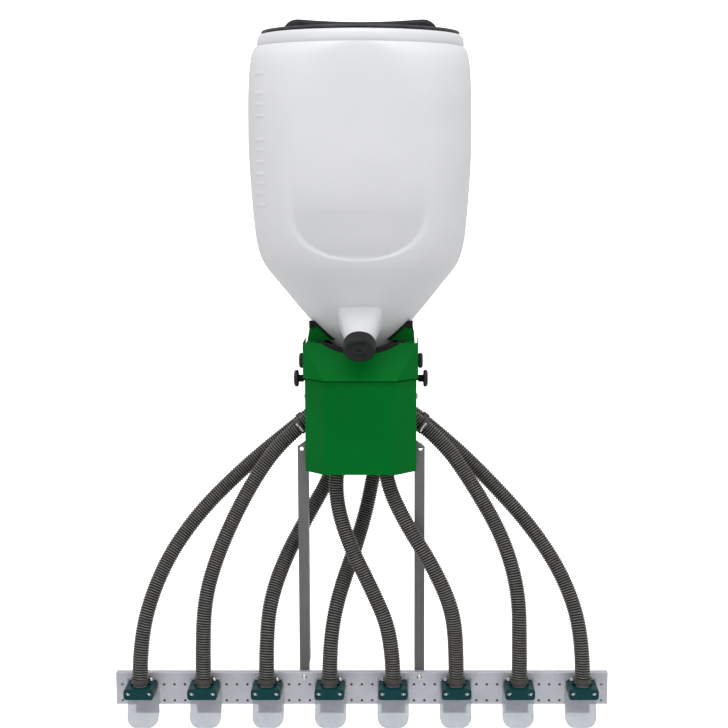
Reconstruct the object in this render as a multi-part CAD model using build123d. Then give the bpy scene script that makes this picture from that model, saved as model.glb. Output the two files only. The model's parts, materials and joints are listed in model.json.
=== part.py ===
"""Mounted seed spreader: a hopper over a metering housing, eight hoses and a perforated outlet rail.

Millimetres. The origin is the centre of the four mounting holes in the rear plate's back face.
+X is to the operator's right seen from the front, +Y points backwards, +Z is up; the front faces -Y.
"""
import os
from math import cos, pi, radians, sin, tan

from build123d import *

os.makedirs("parts", exist_ok=True)

# ---------------------------------------------------------------- driving dimensions
SHEET = 3.0                    # housing sheet thickness
COVER_SHEET = 2.0
AXIS_Y = -125.0                # vertical axis of hopper, rotor and motor

# Hopper: its outer section at each height, with the corner radius as a share of the half depth
TANK_WALL = 4.5
TANK_STATIONS = [              # height, half width, half depth, corner share
    (96.0, 60.0, 57.3, 0.999),
    (121.0, 60.0, 57.3, 0.999),
    (149.0, 83.0, 79.3, 0.999),
    (240.0, 156.0, 149.0, 0.90),
    (310.0, 212.0, 202.5, 0.80),
    (336.0, 228.0, 217.7, 0.75),
    (362.0, 237.0, 226.3, 0.72),
    (430.0, 245.0, 234.0, 0.70),
    (520.0, 252.5, 241.1, 0.70),
    (600.0, 256.0, 244.5, 0.70),
    (710.0, 255.0, 244.5, 0.70),
    (780.0, 252.0, 243.5, 0.74),
    (810.0, 248.0, 242.5, 0.82),
    (829.0, 242.0, 240.5, 0.96),
]
COLLAR_BOTTOM_Z, COLLAR_TOP_Z = 829.0, 857.0
COLLAR_R, COLLAR_RIM_R, MOUTH_R = 240.0, 232.0, 222.0
NECK_FLANGE_R, NECK_FLANGE_T, NECK_BORE_R = 72.0, 5.0, 55.5

# Lid
LID_R, LID_PLUG_R, LID_PLATE_Z = 230.0, 219.0, 864.0
LID_TOP_Z, LID_DIP = 893.0, 8.0
GRIP_TOP_X, GRIP_FOOT_X, GRIP_HALF_Y = 150.0, 178.0, 45.0

# Drain spout and cap, square to the front of the cone
SPOUT_TILT = 39.0              # degrees below the horizontal
SPOUT_ROOT = (0.0, -252.0, 207.5)
SPOUT_R, SPOUT_BORE_R, SPOUT_LENGTH = 32.0, 27.0, 94.0
CAP_R, CAP_INNER_R, CAP_START, CAP_LENGTH, CAP_FACE = 36.8, 32.5, 70.0, 30.0, 4.0
GUSSET_WIDTH, GUSSET_HEIGHT, GUSSET_LENGTH = 104.0, 84.0, 60.0     # wide root that the spout grows from
CAP_RIBS, CAP_RIB_R = 36, 1.0

# Housing
HOUSE_BOTTOM_Z, HOUSE_TOP_Z = -145.0, 153.0
SIDE_X = 126.0                 # outer face of each side plate
SIDE_FRONT_Y = -232.0
MOUNT_X, MOUNT_Z, MOUNT_HOLE_R = 80.0, 100.0, 6.5
WINDOW_Y, WINDOW_Z = (-190.0, -60.0), (-88.0, 4.0)   # side openings that the upper hoses leave through
BEZEL_X, BEZEL_BOTTOM_Z = 134.0, 70.0
BEZEL_LIP_X, BEZEL_LIP_Y, BEZEL_SIDE_Y, BEZEL_BACK_Y = 84.0, -290.0, -243.0, -150.0
CUTOUT_R, CUTOUT_LOW_Z = 187.0, 129.0                # arc in the bezel for the hopper's cone
TRIM_ABOVE, TRIM_BELOW, TRIM_FRONT, TRIM_BACK = 11.0, 4.0, 3.0, 9.0
TRIM_HALF_X = 92.0
EDGING_T, EDGING_PROUD = 6.0, 3.0                    # rubber edging on the cradle's wings
COVER_FRONT_Y, COVER_BACK_Y, COVER_X, COVER_FLAT_X = -281.0, -237.0, 130.0, 84.0
COVER_BOTTOM_Z, COVER_TOP_Z = -151.0, 67.0
EAR_BACK_Y, EAR_BOTTOM_Z = -172.0, -12.0
UPPER_KNOB_Y, UPPER_KNOB_Z, UPPER_KNOB_R = -200.0, 106.0, 18.0
LOWER_KNOB_Y, LOWER_KNOB_Z, LOWER_KNOB_R = -205.0, 64.5, 20.0
KNOB_T, STUD_R, GUIDE_Z = 11.0, 4.0, 22.0
LOWER_KNOB_FACE_X = 157.0
GLAND_Y, GLAND_Z = -30.0, -133.0
CRADLE_Y, CRADLE_TIP_X, CRADLE_TIP_Z = -185.0, 119.0, 195.0

# Metering and distributor
BLOCK_X, BLOCK_Y, BLOCK_Z = 75.0, (-195.0, -60.0), (60.0, 96.0)
PORT_X, PORT_Y = (12.0, 52.0), (-150.0, -110.0)
SLIDE_Z, SLIDE_X, SLIDE_Y = (66.3, 69.7), (10.3, 55.7), (-153.0, -52.0)
DROP_R, DROP_WALL = 60.0, 3.0
CHAMBER_R, CHAMBER_WALL, CHAMBER_Z = 110.0, 3.0, (-45.0, 10.0)
SHELF_T = 3.0
SHAFT_R, SHAFT_Z = 5.0, (-62.0, 138.0)
MOTOR_R, MOTOR_Z = 36.0, (-146.0, -49.0)
SPIGOT_R, SPIGOT_BORE_R = 16.0, 14.0
SIDE_SPIGOT_TILT, SIDE_SPIGOT_X, SIDE_SPIGOT_Y = 38.0, 112.0, 35.0
SIDE_SPIGOT_END, LOW_SPIGOT_END = 58.0, 40.0         # reach beyond the chamber wall, and below the floor
LOW_SPIGOTS = [(-56.0, -66.0), (40.0, -63.0), (-53.0, -193.0), (53.0, -193.0)]

# Outlet rail, clamps and deflectors
RAIL_X, RAIL_Z, RAIL_FRONT_Y = 590.0, (-725.0, -645.0), -236.0
RAIL_T, RAIL_DEPTH, RAIL_CORNER = 2.0, 18.0, 2.5
RAIL_BACK_Y = RAIL_FRONT_Y + RAIL_DEPTH
RAIL_HOLE_R, RAIL_HOLE_PITCH, RAIL_HOLES, RAIL_ROWS_Z = 3.0, 25.0, 47, (-675.0, -715.0)
OUTLET_PITCH = 150.0
OUTLETS = [(i - 3.5) * OUTLET_PITCH for i in range(8)]
DEFLECTOR_X, DEFLECTOR_T, DEFLECTOR_TOP_Z, DEFLECTOR_BEND_Z = 38.0, 3.0, -660.0, -728.0
DEFLECTOR_TILT, DEFLECTOR_LENGTH, DEFLECTOR_CORNER = 25.0, 52.0, 24.0
CLAMP_X, CLAMP_Y, CLAMP_Z, CLAMP_GAP = 35.0, (-304.0, -239.0), (-688.0, -662.0), 2.0
CLAMP_BOLT_X, CLAMP_BOLT_R, CLAMP_HEAD_R, CLAMP_POCKET_R, CLAMP_POCKET = 25.0, 2.9, 4.4, 5.6, 4.6
CLAMP_DISH_R, CLAMP_DISH = 22.5, 4.0                 # round seat for the hose clip in the clamp's top
OUTLET_Y, PIPE_Z = -271.5, (-690.0, -617.0)
BRACKET_X, BRACKET_T, LIP_Y, LIP_Z = 29.0, 2.0, -185.0, (-766.0, -700.0)

# Struts
STRUT_X, STRUT_T, STRUT_DEPTH, STRUT_Z = (126.0, 150.0), 3.0, 44.0, (-721.0, -80.0)
STRUT_RAIL_BOLT_Z, STRUT_SIDE_BOLTS_Z = -657.0, (-100.0, -130.0)
RAIL_BOLT_X, SIDE_BOLT_Y = 138.0, -196.0

# Hoses
HOSE_R, HOSE_BORE_R = 19.0, 16.0
HOSE_END_Z = -660.0
CLIP_T, CLIP_WIDTH = 1.4, 12.0
SIDE_RUN, LOW_RUN = 85.0, 62.0                        # first straight run from a side or a low spigot
SIDE_HOSE_START, LOW_HOSE_START = 14.0, 8.0           # where a hose's end sits along its spigot
HOSE_SPIGOTS = [0, 1, 4, 5, 6, 7, 3, 2]               # the spigot that each hose comes from
HOSE_FOOT_Z = [-545.0, -555.0, -570.0, -573.0, -545.0, -568.0, -555.0, -550.0]
HOSE_ROUTES = [
    [(-287, -120, -168), (-397, -168, -272), (-478, -222, -392)],
    [(-262, -185, -190), (-328, -222, -320), (-368, -255, -440)],
    [(-80, -74, -200), (-131, -101, -286), (-184, -156, -376), (-219, -230, -468)],
    [(25, -71, -203), (7, -97, -288), (-22, -149, -374), (-60, -231, -470)],
    [(-63, -214, -215), (-33, -238, -320), (22, -258, -425)],
    [(63, -214, -196), (108, -250, -280), (168, -273, -370), (214, -280, -470)],
    [(262, -182, -190), (337, -220, -316), (372, -252, -436)],
    [(290, -120, -180), (408, -168, -302), (488, -226, -422)],
]


# ---------------------------------------------------------------- helpers
def block(x, y, z):
    """A box between two limits along each axis."""
    size = [high - low for low, high in (x, y, z)]
    middle = [(high + low) / 2 for low, high in (x, y, z)]
    return Pos(*middle) * Box(*size)


def rod(radius, start, end):
    """A round bar between two points."""
    along = Vector(*end) - Vector(*start)
    return Plane(origin=start, z_dir=along) * Cylinder(
        radius, along.length, align=(Align.CENTER, Align.CENTER, Align.MIN))


def ring(outer, inner, start, end):
    """A round tube between two points."""
    reach = (Vector(*end) - Vector(*start)).normalized()
    low, high = Vector(*start) - reach, Vector(*end) + reach
    return rod(outer, start, end) - rod(inner, tuple(low), tuple(high))


def mirrored(shape):
    """The same shape on the other side of the middle plane."""
    return mirror(shape, about=Plane.YZ)


def group(solids):
    return Compound(children=[s for shape in solids for s in shape.solids()])


def save(name, shape):
    export_step(shape, f"parts/{name}.step")


def prism_xz(points, y):
    """A plate with that outline in X and Z, between two depths."""
    face = make_face(Polyline(*[(x, y[0], z) for x, z in points], close=True))
    return extrude(face, amount=y[1] - y[0], dir=(0, 1, 0))


def prism_yz(points, x):
    face = make_face(Polyline(*[(x[0], y, z) for y, z in points], close=True))
    return extrude(face, amount=x[1] - x[0], dir=(1, 0, 0))


def prism_xy(points, z):
    face = make_face(Polyline(*[(x, y, z[0]) for x, y in points], close=True))
    return extrude(face, amount=z[1] - z[0], dir=(0, 0, 1))


# ---------------------------------------------------------------- hopper
def tank_section(height, half_x, half_y, share, shrink):
    width, depth = 2 * (half_x - shrink), 2 * (half_y - shrink)
    corner = min(half_y * share - shrink, depth / 2 * 0.999)
    return Plane.XY.offset(height) * Pos(0, AXIS_Y) * RectangleRounded(width, depth, corner)


def tank_body(shrink=0.0):
    return loft([tank_section(*station, shrink) for station in TANK_STATIONS], ruled=True)


def tank_axis(height):
    return (0.0, AXIS_Y, height)


def spout_point(distance):
    x, y, z = SPOUT_ROOT
    tilt = radians(SPOUT_TILT)
    return (x, y - distance * cos(tilt), z - distance * sin(tilt))


def spout_gusset():
    """The flat-sided root that tapers from the cone into the round spout."""
    along = Vector(*spout_point(1)) - Vector(*spout_point(0))
    root = Plane(origin=spout_point(-12), x_dir=(1, 0, 0), z_dir=along)
    tip = Plane(origin=spout_point(GUSSET_LENGTH), x_dir=(1, 0, 0), z_dir=along)
    wide = root * RectangleRounded(GUSSET_WIDTH, GUSSET_HEIGHT, 20)
    narrow = tip * RectangleRounded(2 * SPOUT_R, 2 * SPOUT_R, SPOUT_R - 0.2)
    return loft([wide, narrow], ruled=True)


def hopper_tank():
    low, high = TANK_STATIONS[0][0], COLLAR_BOTTOM_Z
    cavity = tank_body(TANK_WALL) & block((-300, 300), (-450, 200), (low - 1, high - TANK_WALL))
    collar = ring(COLLAR_R, MOUTH_R, tank_axis(high - 1), tank_axis(COLLAR_TOP_Z))
    collar = chamfer(collar.faces().sort_by(Axis.Z)[-1].outer_wire().edges(), COLLAR_R - COLLAR_RIM_R)
    flange = rod(NECK_FLANGE_R, tank_axis(low), tank_axis(low + NECK_FLANGE_T))
    spout = rod(SPOUT_R, spout_point(-6), spout_point(SPOUT_LENGTH)) + spout_gusset()
    tank = tank_body() + collar + flange + spout
    mouth = rod(MOUTH_R, tank_axis(high - 12), tank_axis(COLLAR_TOP_Z + 1))
    neck = rod(NECK_BORE_R, tank_axis(low - 1), tank_axis(low + 20))
    drain = rod(SPOUT_BORE_R, spout_point(-20), spout_point(SPOUT_LENGTH + 1))
    return tank - cavity - mouth - neck - drain


def lid_seal():
    return ring(MOUTH_R + 7, MOUTH_R - 1, tank_axis(COLLAR_TOP_Z + 0.1), tank_axis(COLLAR_TOP_Z + 2.1))


def hopper_lid():
    base = COLLAR_TOP_Z + 2.3
    plate = rod(LID_R, tank_axis(base), tank_axis(LID_PLATE_Z + 2))
    plug = ring(LID_PLUG_R, LID_PLUG_R - 5, tank_axis(base - 16), tank_axis(base + 1))
    dip = Spline((-GRIP_TOP_X, 0, LID_TOP_Z), (0, 0, LID_TOP_Z - LID_DIP), (GRIP_TOP_X, 0, LID_TOP_Z))
    foot = LID_PLATE_Z - 1
    sides = Polyline((GRIP_TOP_X, 0, LID_TOP_Z), (GRIP_FOOT_X, 0, foot), (-GRIP_FOOT_X, 0, foot),
                     (-GRIP_TOP_X, 0, LID_TOP_Z))
    grip = extrude(make_face(dip + sides), amount=GRIP_HALF_Y, both=True, dir=(0, 1, 0))
    return plate + plug + Pos(0, AXIS_Y, 0) * grip


def drain_cap():
    start, end = spout_point(CAP_START), spout_point(CAP_START + CAP_LENGTH)
    skirt_end = spout_point(CAP_START + CAP_LENGTH - CAP_FACE)
    cap = rod(CAP_R, start, end) - rod(CAP_INNER_R, spout_point(CAP_START - 1), skirt_end)
    plane = Plane(origin=start, x_dir=(1, 0, 0), z_dir=Vector(*end) - Vector(*start))
    grooves = [plane * Rot(0, 0, k * 360 / CAP_RIBS) * Pos(CAP_R + 0.3, 0, 13)
               * Cylinder(CAP_RIB_R, 26) for k in range(CAP_RIBS)]
    return cap - grooves


def drain_gasket():
    start = CAP_START + CAP_LENGTH - CAP_FACE - 1.9
    return ring(SPOUT_R - 0.5, SPOUT_BORE_R, spout_point(start), spout_point(start + 1.8))


# ---------------------------------------------------------------- housing
def side_plate():
    """The right-hand plate, with a window for the hoses and threaded holes for the knobs."""
    inner = SIDE_X - SHEET
    plate = block((inner, SIDE_X), (SIDE_FRONT_Y, -SHEET), (HOUSE_BOTTOM_Z, HOUSE_TOP_Z))
    plate -= block((inner - 1, SIDE_X + 1), WINDOW_Y, WINDOW_Z)
    for y, z in ((UPPER_KNOB_Y, UPPER_KNOB_Z), (LOWER_KNOB_Y, LOWER_KNOB_Z)):
        plate -= rod(STUD_R + 0.05, (inner - 1, y, z), (SIDE_X + 1, y, z))
    plate -= rod(STUD_R, (inner - 1, LOWER_KNOB_Y, GUIDE_Z), (SIDE_X + 1, LOWER_KNOB_Y, GUIDE_Z))
    for z in STRUT_SIDE_BOLTS_Z:
        plate -= rod(STUD_R, (inner - 1, SIDE_BOLT_Y, z), (SIDE_X + 1, SIDE_BOLT_Y, z))
    return plate


def rear_plate():
    plate = block((-SIDE_X, SIDE_X), (-SHEET, 0), (-150, HOUSE_TOP_Z))
    for x in (-MOUNT_X, MOUNT_X):
        for z in (-MOUNT_Z, MOUNT_Z):
            plate -= rod(MOUNT_HOLE_R, (x, -SHEET - 1, z), (x, 1, z))
    return plate


def shelf(z, cuts):
    plate = block((-SIDE_X + SHEET, SIDE_X - SHEET), (-215, -SHEET), (z - SHELF_T, z))
    for cut in cuts:
        plate -= cut
    return plate


def chamber_shelf():
    top = CHAMBER_Z[0]
    cuts = [rod(MOTOR_R + 12, tank_axis(top - 9), tank_axis(top + 1))]
    cuts += [rod(SPIGOT_R + 1, (x, y, top - 9), (x, y, top + 1)) for x, y in LOW_SPIGOTS]
    slots = [(side * SIDE_SPIGOT_X - 22, side * SIDE_SPIGOT_X + 22) for side in (-1, 1)]
    cuts += [block(x, WINDOW_Y, (top - 9, top + 1)) for x in slots]
    return shelf(top, cuts)


def block_shelf():
    top = BLOCK_Z[0]
    return shelf(top, [rod(DROP_R - DROP_WALL, tank_axis(top - 9), tank_axis(top + 1))])


def hopper_envelope():
    """The space that the hopper takes, with 2 mm to spare all round."""
    return tank_body(-2.0)


def cutout():
    """The wide arc that the bezel and the deck leave open in front of the hopper."""
    centre_z = CUTOUT_LOW_Z + CUTOUT_R
    return rod(CUTOUT_R, (0, -330, centre_z), (0, -150, centre_z))


def hopper_cradle():
    """Deck between the side plates, with two upright wings that the cone rests between."""
    inner = SIDE_X - SHEET
    deck = block((-inner, inner), (-236, -SHEET), (HOUSE_TOP_Z - SHEET, HOUSE_TOP_Z)) - cutout()
    wing = prism_xz([(60, HOUSE_TOP_Z - 1), (inner, HOUSE_TOP_Z - 1), (inner, HOUSE_TOP_Z),
                     (SIDE_X, HOUSE_TOP_Z), (CRADLE_TIP_X, CRADLE_TIP_Z), (CRADLE_TIP_X - 9, CRADLE_TIP_Z),
                     (70, HOUSE_TOP_Z + 5)], (CRADLE_Y, CRADLE_Y + SHEET))
    wings = wing + mirrored(wing)
    back = Pos(0, 2 * (AXIS_Y - CRADLE_Y) - SHEET, 0) * wings
    return deck + wings + back - hopper_envelope()


def bezel_space(grow):
    """The wedge that the bezel encloses; grow is how far its faces stand out from the sheet's outer face."""
    half = BEZEL_X + grow
    space = block((-half, half), (BEZEL_LIP_Y - 20, BEZEL_BACK_Y), (BEZEL_BOTTOM_Z, HOUSE_TOP_Z))
    lip = Vector(BEZEL_LIP_X, BEZEL_LIP_Y, BEZEL_BOTTOM_Z)
    corner = Vector(BEZEL_X, BEZEL_SIDE_Y, BEZEL_BOTTOM_Z)
    top = Vector(BEZEL_X, BEZEL_SIDE_Y, HOUSE_TOP_Z)
    front = Vector(0, top.Z - lip.Z, -(top.Y - lip.Y)).normalized() * -1
    side = (corner - lip).cross(top - lip).normalized()
    side = side if side.Y < 0 else side * -1
    for normal in (front, side, Vector(-side.X, side.Y, side.Z)):
        start = lip if normal.X >= 0 else Vector(-lip.X, lip.Y, lip.Z)
        space = split(space, bisect_by=Plane(origin=start + normal * grow, z_dir=normal), keep=Keep.BOTTOM)
    return space


def front_bezel():
    hollow = bezel_space(-COVER_SHEET) + Pos(0, 1, 0) * bezel_space(-COVER_SHEET)
    shell = bezel_space(0) - hollow - cutout()
    for side in (-1, 1):
        shell -= rod(STUD_R + 0.4, (side * 120, UPPER_KNOB_Y, UPPER_KNOB_Z),
                     (side * 140, UPPER_KNOB_Y, UPPER_KNOB_Z))
    return shell


def bezel_trim():
    """Rubber channel along the arc, proud of the sheet on both faces."""
    centre_z = CUTOUT_LOW_Z + CUTOUT_R
    band = rod(CUTOUT_R + TRIM_BELOW, (0, -320, centre_z), (0, -160, centre_z))
    band -= rod(CUTOUT_R - TRIM_ABOVE, (0, -321, centre_z), (0, -159, centre_z))
    skin = bezel_space(TRIM_FRONT) - bezel_space(-TRIM_BACK)
    band &= skin
    band &= block((-TRIM_HALF_X, TRIM_HALF_X), (-300, -236), (CUTOUT_LOW_Z - 10, HOUSE_TOP_Z))
    return band - front_bezel() - hopper_cradle()


def wing_trim():
    """Rubber edging round the sloping inner edge and the tip of both front wings."""
    depth = (CRADLE_Y - EDGING_PROUD, CRADLE_Y + SHEET + EDGING_PROUD)
    slope = tank_body(-1.0 - EDGING_T) - tank_body(-1.0)
    slope &= block((0, CRADLE_TIP_X), depth, (HOUSE_TOP_Z + 1, CRADLE_TIP_Z + EDGING_PROUD))
    tip = block((CRADLE_TIP_X - 12, CRADLE_TIP_X + EDGING_PROUD), depth,
                (CRADLE_TIP_Z - 14, CRADLE_TIP_Z + EDGING_PROUD))
    edging = slope + (tip - tank_body(-1.0)) - hopper_cradle()
    return group([edging, mirrored(edging)])


def front_cover():
    outer = [(-COVER_X, COVER_BACK_Y), (-COVER_FLAT_X, COVER_FRONT_Y), (COVER_FLAT_X, COVER_FRONT_Y),
             (COVER_X, COVER_BACK_Y)]
    slope = COVER_SHEET * 0.45
    inner = [(-COVER_X + COVER_SHEET, COVER_BACK_Y + 2), (-COVER_X + COVER_SHEET, COVER_BACK_Y + slope - 1),
             (-COVER_FLAT_X + slope, COVER_FRONT_Y + COVER_SHEET),
             (COVER_FLAT_X - slope, COVER_FRONT_Y + COVER_SHEET),
             (COVER_X - COVER_SHEET, COVER_BACK_Y + slope - 1), (COVER_X - COVER_SHEET, COVER_BACK_Y + 2)]
    tall = (COVER_BOTTOM_Z, COVER_TOP_Z)
    shell = prism_xy(outer + [(COVER_X, COVER_BACK_Y + 1), (-COVER_X, COVER_BACK_Y + 1)], tall)
    shell -= prism_xy(inner, (tall[0] - 1, tall[1] + 1))
    for side in (-1, 1):
        x = sorted((side * (COVER_X - 3 + 0.3), side * COVER_X))
        shell += block(x, (COVER_BACK_Y, EAR_BACK_Y), (EAR_BOTTOM_Z, COVER_TOP_Z))
        for z in (LOWER_KNOB_Z, GUIDE_Z):
            shell -= block((min(x) - 1, max(x) + 1), (LOWER_KNOB_Y - STUD_R - 0.5, EAR_BACK_Y + 1),
                           (z - STUD_R - 0.5, z + STUD_R + 0.5))
    return shell


def knob(radius, y, z, collar, face_x):
    """Round clamping knob with its moulded-in stud, on the right-hand side; collar lists its stepped neck."""
    disc = rod(radius, (face_x - KNOB_T, y, z), (face_x, y, z))
    disc = fillet(disc.edges().filter_by(GeomType.CIRCLE), 3)
    notches = [Pos(face_x - KNOB_T / 2, y, z) * Rot(k * 60, 0, 0) * Pos(0, radius + 2.5, 0)
               * Rot(0, 90, 0) * Cylinder(4.5, KNOB_T + 2) for k in range(6)]
    turned = disc - notches
    for neck_r, from_x, to_x in collar:
        turned += rod(neck_r, (from_x, y, z), (to_x, y, z))
    return turned + rod(STUD_R, (SIDE_X - SHEET - 8, y, z), (face_x - KNOB_T + 1, y, z))


def upper_knob():
    start = BEZEL_X + 0.3
    return knob(UPPER_KNOB_R, UPPER_KNOB_Y, UPPER_KNOB_Z, [(8, start, start + 3)], start + KNOB_T)


def lower_knob():
    collar = [(5.2, COVER_X + 0.3, BEZEL_X + 1), (8.5, BEZEL_X + 0.3, LOWER_KNOB_FACE_X - KNOB_T + 1)]
    return knob(LOWER_KNOB_R, LOWER_KNOB_Y, LOWER_KNOB_Z, collar, LOWER_KNOB_FACE_X)


def guide_bolts():
    y = LOWER_KNOB_Y
    bolt = rod(STUD_R, (SIDE_X - SHEET - 6, y, GUIDE_Z), (COVER_X + 1, y, GUIDE_Z))
    head = rod(6.5, (COVER_X + 0.3, y, GUIDE_Z), (COVER_X + 4.5, y, GUIDE_Z))
    return group([bolt + head, mirrored(bolt + head)])


def cable_gland():
    """Gland on the right-hand plate where the motor's supply lead would enter."""
    nut = rod(8, (SIDE_X, GLAND_Y, GLAND_Z), (SIDE_X + 12, GLAND_Y, GLAND_Z))
    dome = rod(6.5, (SIDE_X + 12, GLAND_Y, GLAND_Z), (SIDE_X + 20, GLAND_Y, GLAND_Z))
    return nut + dome - rod(4, (SIDE_X + 2, GLAND_Y, GLAND_Z), (SIDE_X + 21, GLAND_Y, GLAND_Z))


# ---------------------------------------------------------------- metering and distributor
def dosing_block():
    body = block((-BLOCK_X, BLOCK_X), BLOCK_Y, BLOCK_Z)
    body -= rod(NECK_BORE_R, tank_axis(76), tank_axis(BLOCK_Z[1] + 1))
    body -= block(PORT_X, PORT_Y, (BLOCK_Z[0] - 1, 80))
    channel_x = (SLIDE_X[0] - 0.3, SLIDE_X[1] + 0.3)
    body -= block(channel_x, (SLIDE_Y[0] - 0.3, BLOCK_Y[1] + 1), (SLIDE_Z[0] - 0.3, SLIDE_Z[1] + 0.3))
    return body - rod(8, tank_axis(BLOCK_Z[0] - 1), tank_axis(80))


def dosing_slide():
    plate = block(SLIDE_X, SLIDE_Y, SLIDE_Z)
    crosshead = block((-102, SLIDE_X[1]), (SLIDE_Y[1] - 6, SLIDE_Y[1]), (64, 84))
    crosshead -= block((-80, 0), (-70, -40), (60, 70))
    return plate + crosshead


def actuator_body():
    body = block((-115, -79), (-190, -105), (60, 90))
    body = fillet(body.edges().filter_by(Axis.Y), 4)
    return body - rod(4.05, (-92, -150, 76), (-92, -100, 76))


def actuator_rod():
    return rod(4, (-92, -148, 76), (-92, SLIDE_Y[1] - 6, 76))


def drop_tube():
    return ring(DROP_R, DROP_R - DROP_WALL, tank_axis(CHAMBER_Z[1] + 4), tank_axis(BLOCK_Z[0] - SHELF_T))


def spigots():
    """Each spigot's point on the chamber, and its direction away from it: four slanted ones, four upright."""
    tilt = radians(SIDE_SPIGOT_TILT)
    slanted = [(Vector(side * SIDE_SPIGOT_X, AXIS_Y + offset, -30), Vector(side * cos(tilt), 0, -sin(tilt)))
               for side in (-1, 1) for offset in (SIDE_SPIGOT_Y, -SIDE_SPIGOT_Y)]
    upright = [(Vector(x, y, CHAMBER_Z[0]), Vector(0, 0, -1)) for x, y in LOW_SPIGOTS]
    return slanted + upright


def spigot_axes():
    """Where each spigot tube starts, inside the wall, and where it ends."""
    axes = []
    for start, along in spigots():
        slanted = abs(along.X) > 0.1
        inset, reach = (25, SIDE_SPIGOT_END) if slanted else (4, LOW_SPIGOT_END)
        axes.append((start - along * inset, start + along * reach))
    return axes


def chamber_space(inset):
    low, high = CHAMBER_Z
    return rod(CHAMBER_R - inset, tank_axis(low + inset), tank_axis(high))


def distributor_chamber():
    body = chamber_space(0) - chamber_space(CHAMBER_WALL)
    for start, end in spigot_axes():
        body -= rod(SPIGOT_R, tuple(start), tuple(end))
    return body - rod(8, tank_axis(CHAMBER_Z[0] - 1), tank_axis(CHAMBER_Z[0] + 9))


def hose_spigots():
    tubes = []
    for start, end in spigot_axes():
        tube = ring(SPIGOT_R, SPIGOT_BORE_R, tuple(start), tuple(end))
        tubes.append(tube - chamber_space(CHAMBER_WALL))
    return group(tubes)


def chamber_lid():
    low = CHAMBER_Z[1]
    return ring(CHAMBER_R + 2, DROP_R - DROP_WALL, tank_axis(low), tank_axis(low + 4))


def distributor_rotor():
    low = CHAMBER_Z[0] + CHAMBER_WALL + 6
    disc = rod(92, tank_axis(low), tank_axis(low + 3)) + rod(14, tank_axis(low), tank_axis(low + 24))
    vanes = [Pos(0, AXIS_Y, low + 10) * Rot(0, 0, k * 60) * Pos(52, 0, 0) * Box(78, 3, 20) for k in range(6)]
    rotor = disc + vanes
    return rotor - rod(SHAFT_R, tank_axis(low - 1), tank_axis(low + 30))


def rotor_shaft():
    return rod(SHAFT_R, tank_axis(SHAFT_Z[0]), tank_axis(SHAFT_Z[1]))


def stirrer():
    hub = rod(11, tank_axis(108), tank_axis(134))
    for k, height in enumerate((114, 128)):
        finger = Pos(0, AXIS_Y, height) * Rot(0, 0, 90 * k) * Rot(0, 90, 0) * Cylinder(3, 92)
        hub += finger
    return hub - rod(SHAFT_R, tank_axis(100), tank_axis(140))


def shaft_bush():
    return ring(8, SHAFT_R + 0.05, tank_axis(BLOCK_Z[0]), tank_axis(76))


def motor():
    low, high = MOTOR_Z
    body = rod(MOTOR_R, tank_axis(low), tank_axis(high - 4))
    body += rod(MOTOR_R + 10, tank_axis(high - 4), tank_axis(high + 4))
    body += rod(MOTOR_R - 6, tank_axis(low - 4), tank_axis(low + 1))
    return body - rod(SHAFT_R + 0.05, tank_axis(SHAFT_Z[0] - 1), tank_axis(high + 9))


# ---------------------------------------------------------------- rail and outlets
def outlet_rail():
    """Rectangular tube, perforated front and back."""
    inside = [low + sign * RAIL_T for low, sign in zip(RAIL_Z, (1, -1))]
    rail = block((-RAIL_X, RAIL_X), (RAIL_FRONT_Y, RAIL_BACK_Y), RAIL_Z)
    rail = fillet(rail.edges().filter_by(Axis.X), RAIL_CORNER)
    rail -= block((-RAIL_X - 1, RAIL_X + 1), (RAIL_FRONT_Y + RAIL_T, RAIL_BACK_Y - RAIL_T), inside)
    first = -(RAIL_HOLES - 1) / 2 * RAIL_HOLE_PITCH
    spots = [(RAIL_HOLE_R, first + k * RAIL_HOLE_PITCH, z) for z in RAIL_ROWS_Z for k in range(RAIL_HOLES)]
    spots += [(STUD_R, side * RAIL_BOLT_X, STRUT_RAIL_BOLT_Z) for side in (-1, 1)]
    return rail - [rod(radius, (x, RAIL_FRONT_Y - 1, z), (x, RAIL_BACK_Y + 1, z)) for radius, x, z in spots]


def pipe_clamp(x):
    """Two moulded halves that close on the outlet pipe, with a gap between them."""
    low, high = CLAMP_Y
    body = block((x - CLAMP_X, x + CLAMP_X), CLAMP_Y, CLAMP_Z)
    body = fillet(body.edges().filter_by(Axis.Y), 7)
    body -= rod(SPIGOT_R, (x, OUTLET_Y, CLAMP_Z[0] - 1), (x, OUTLET_Y, CLAMP_Z[1] + 1))
    body -= rod(CLAMP_DISH_R, (x, OUTLET_Y, CLAMP_Z[1] - CLAMP_DISH), (x, OUTLET_Y, CLAMP_Z[1] + 1))
    z = RAIL_ROWS_Z[0]
    for at in (x - CLAMP_BOLT_X, x + CLAMP_BOLT_X):
        body -= rod(CLAMP_BOLT_R + 0.3, (at, low - 1, z), (at, high + 1, z))
        body -= rod(CLAMP_POCKET_R, (at, low - 1, z), (at, low + CLAMP_POCKET, z))
    body -= block((x - 50, x + 50), (OUTLET_Y - CLAMP_GAP / 2, OUTLET_Y + CLAMP_GAP / 2), (-700, -650))
    return group([body])


def clamp_bolts():
    """Sunk heads in front of each clamp, and nuts behind the brackets."""
    z = RAIL_ROWS_Z[0]
    seat, back = CLAMP_Y[0] + CLAMP_POCKET, RAIL_BACK_Y + BRACKET_T
    bolts = []
    for at in [x + side * CLAMP_BOLT_X for x in OUTLETS for side in (-1, 1)]:
        bolt = rod(CLAMP_BOLT_R, (at, seat - 1, z), (at, back + 8, z))
        bolt += rod(CLAMP_HEAD_R, (at, seat - 4, z), (at, seat, z))
        bolts.append(bolt + rod(5, (at, back, z), (at, back + 5, z)))
    return group(bolts)


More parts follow.
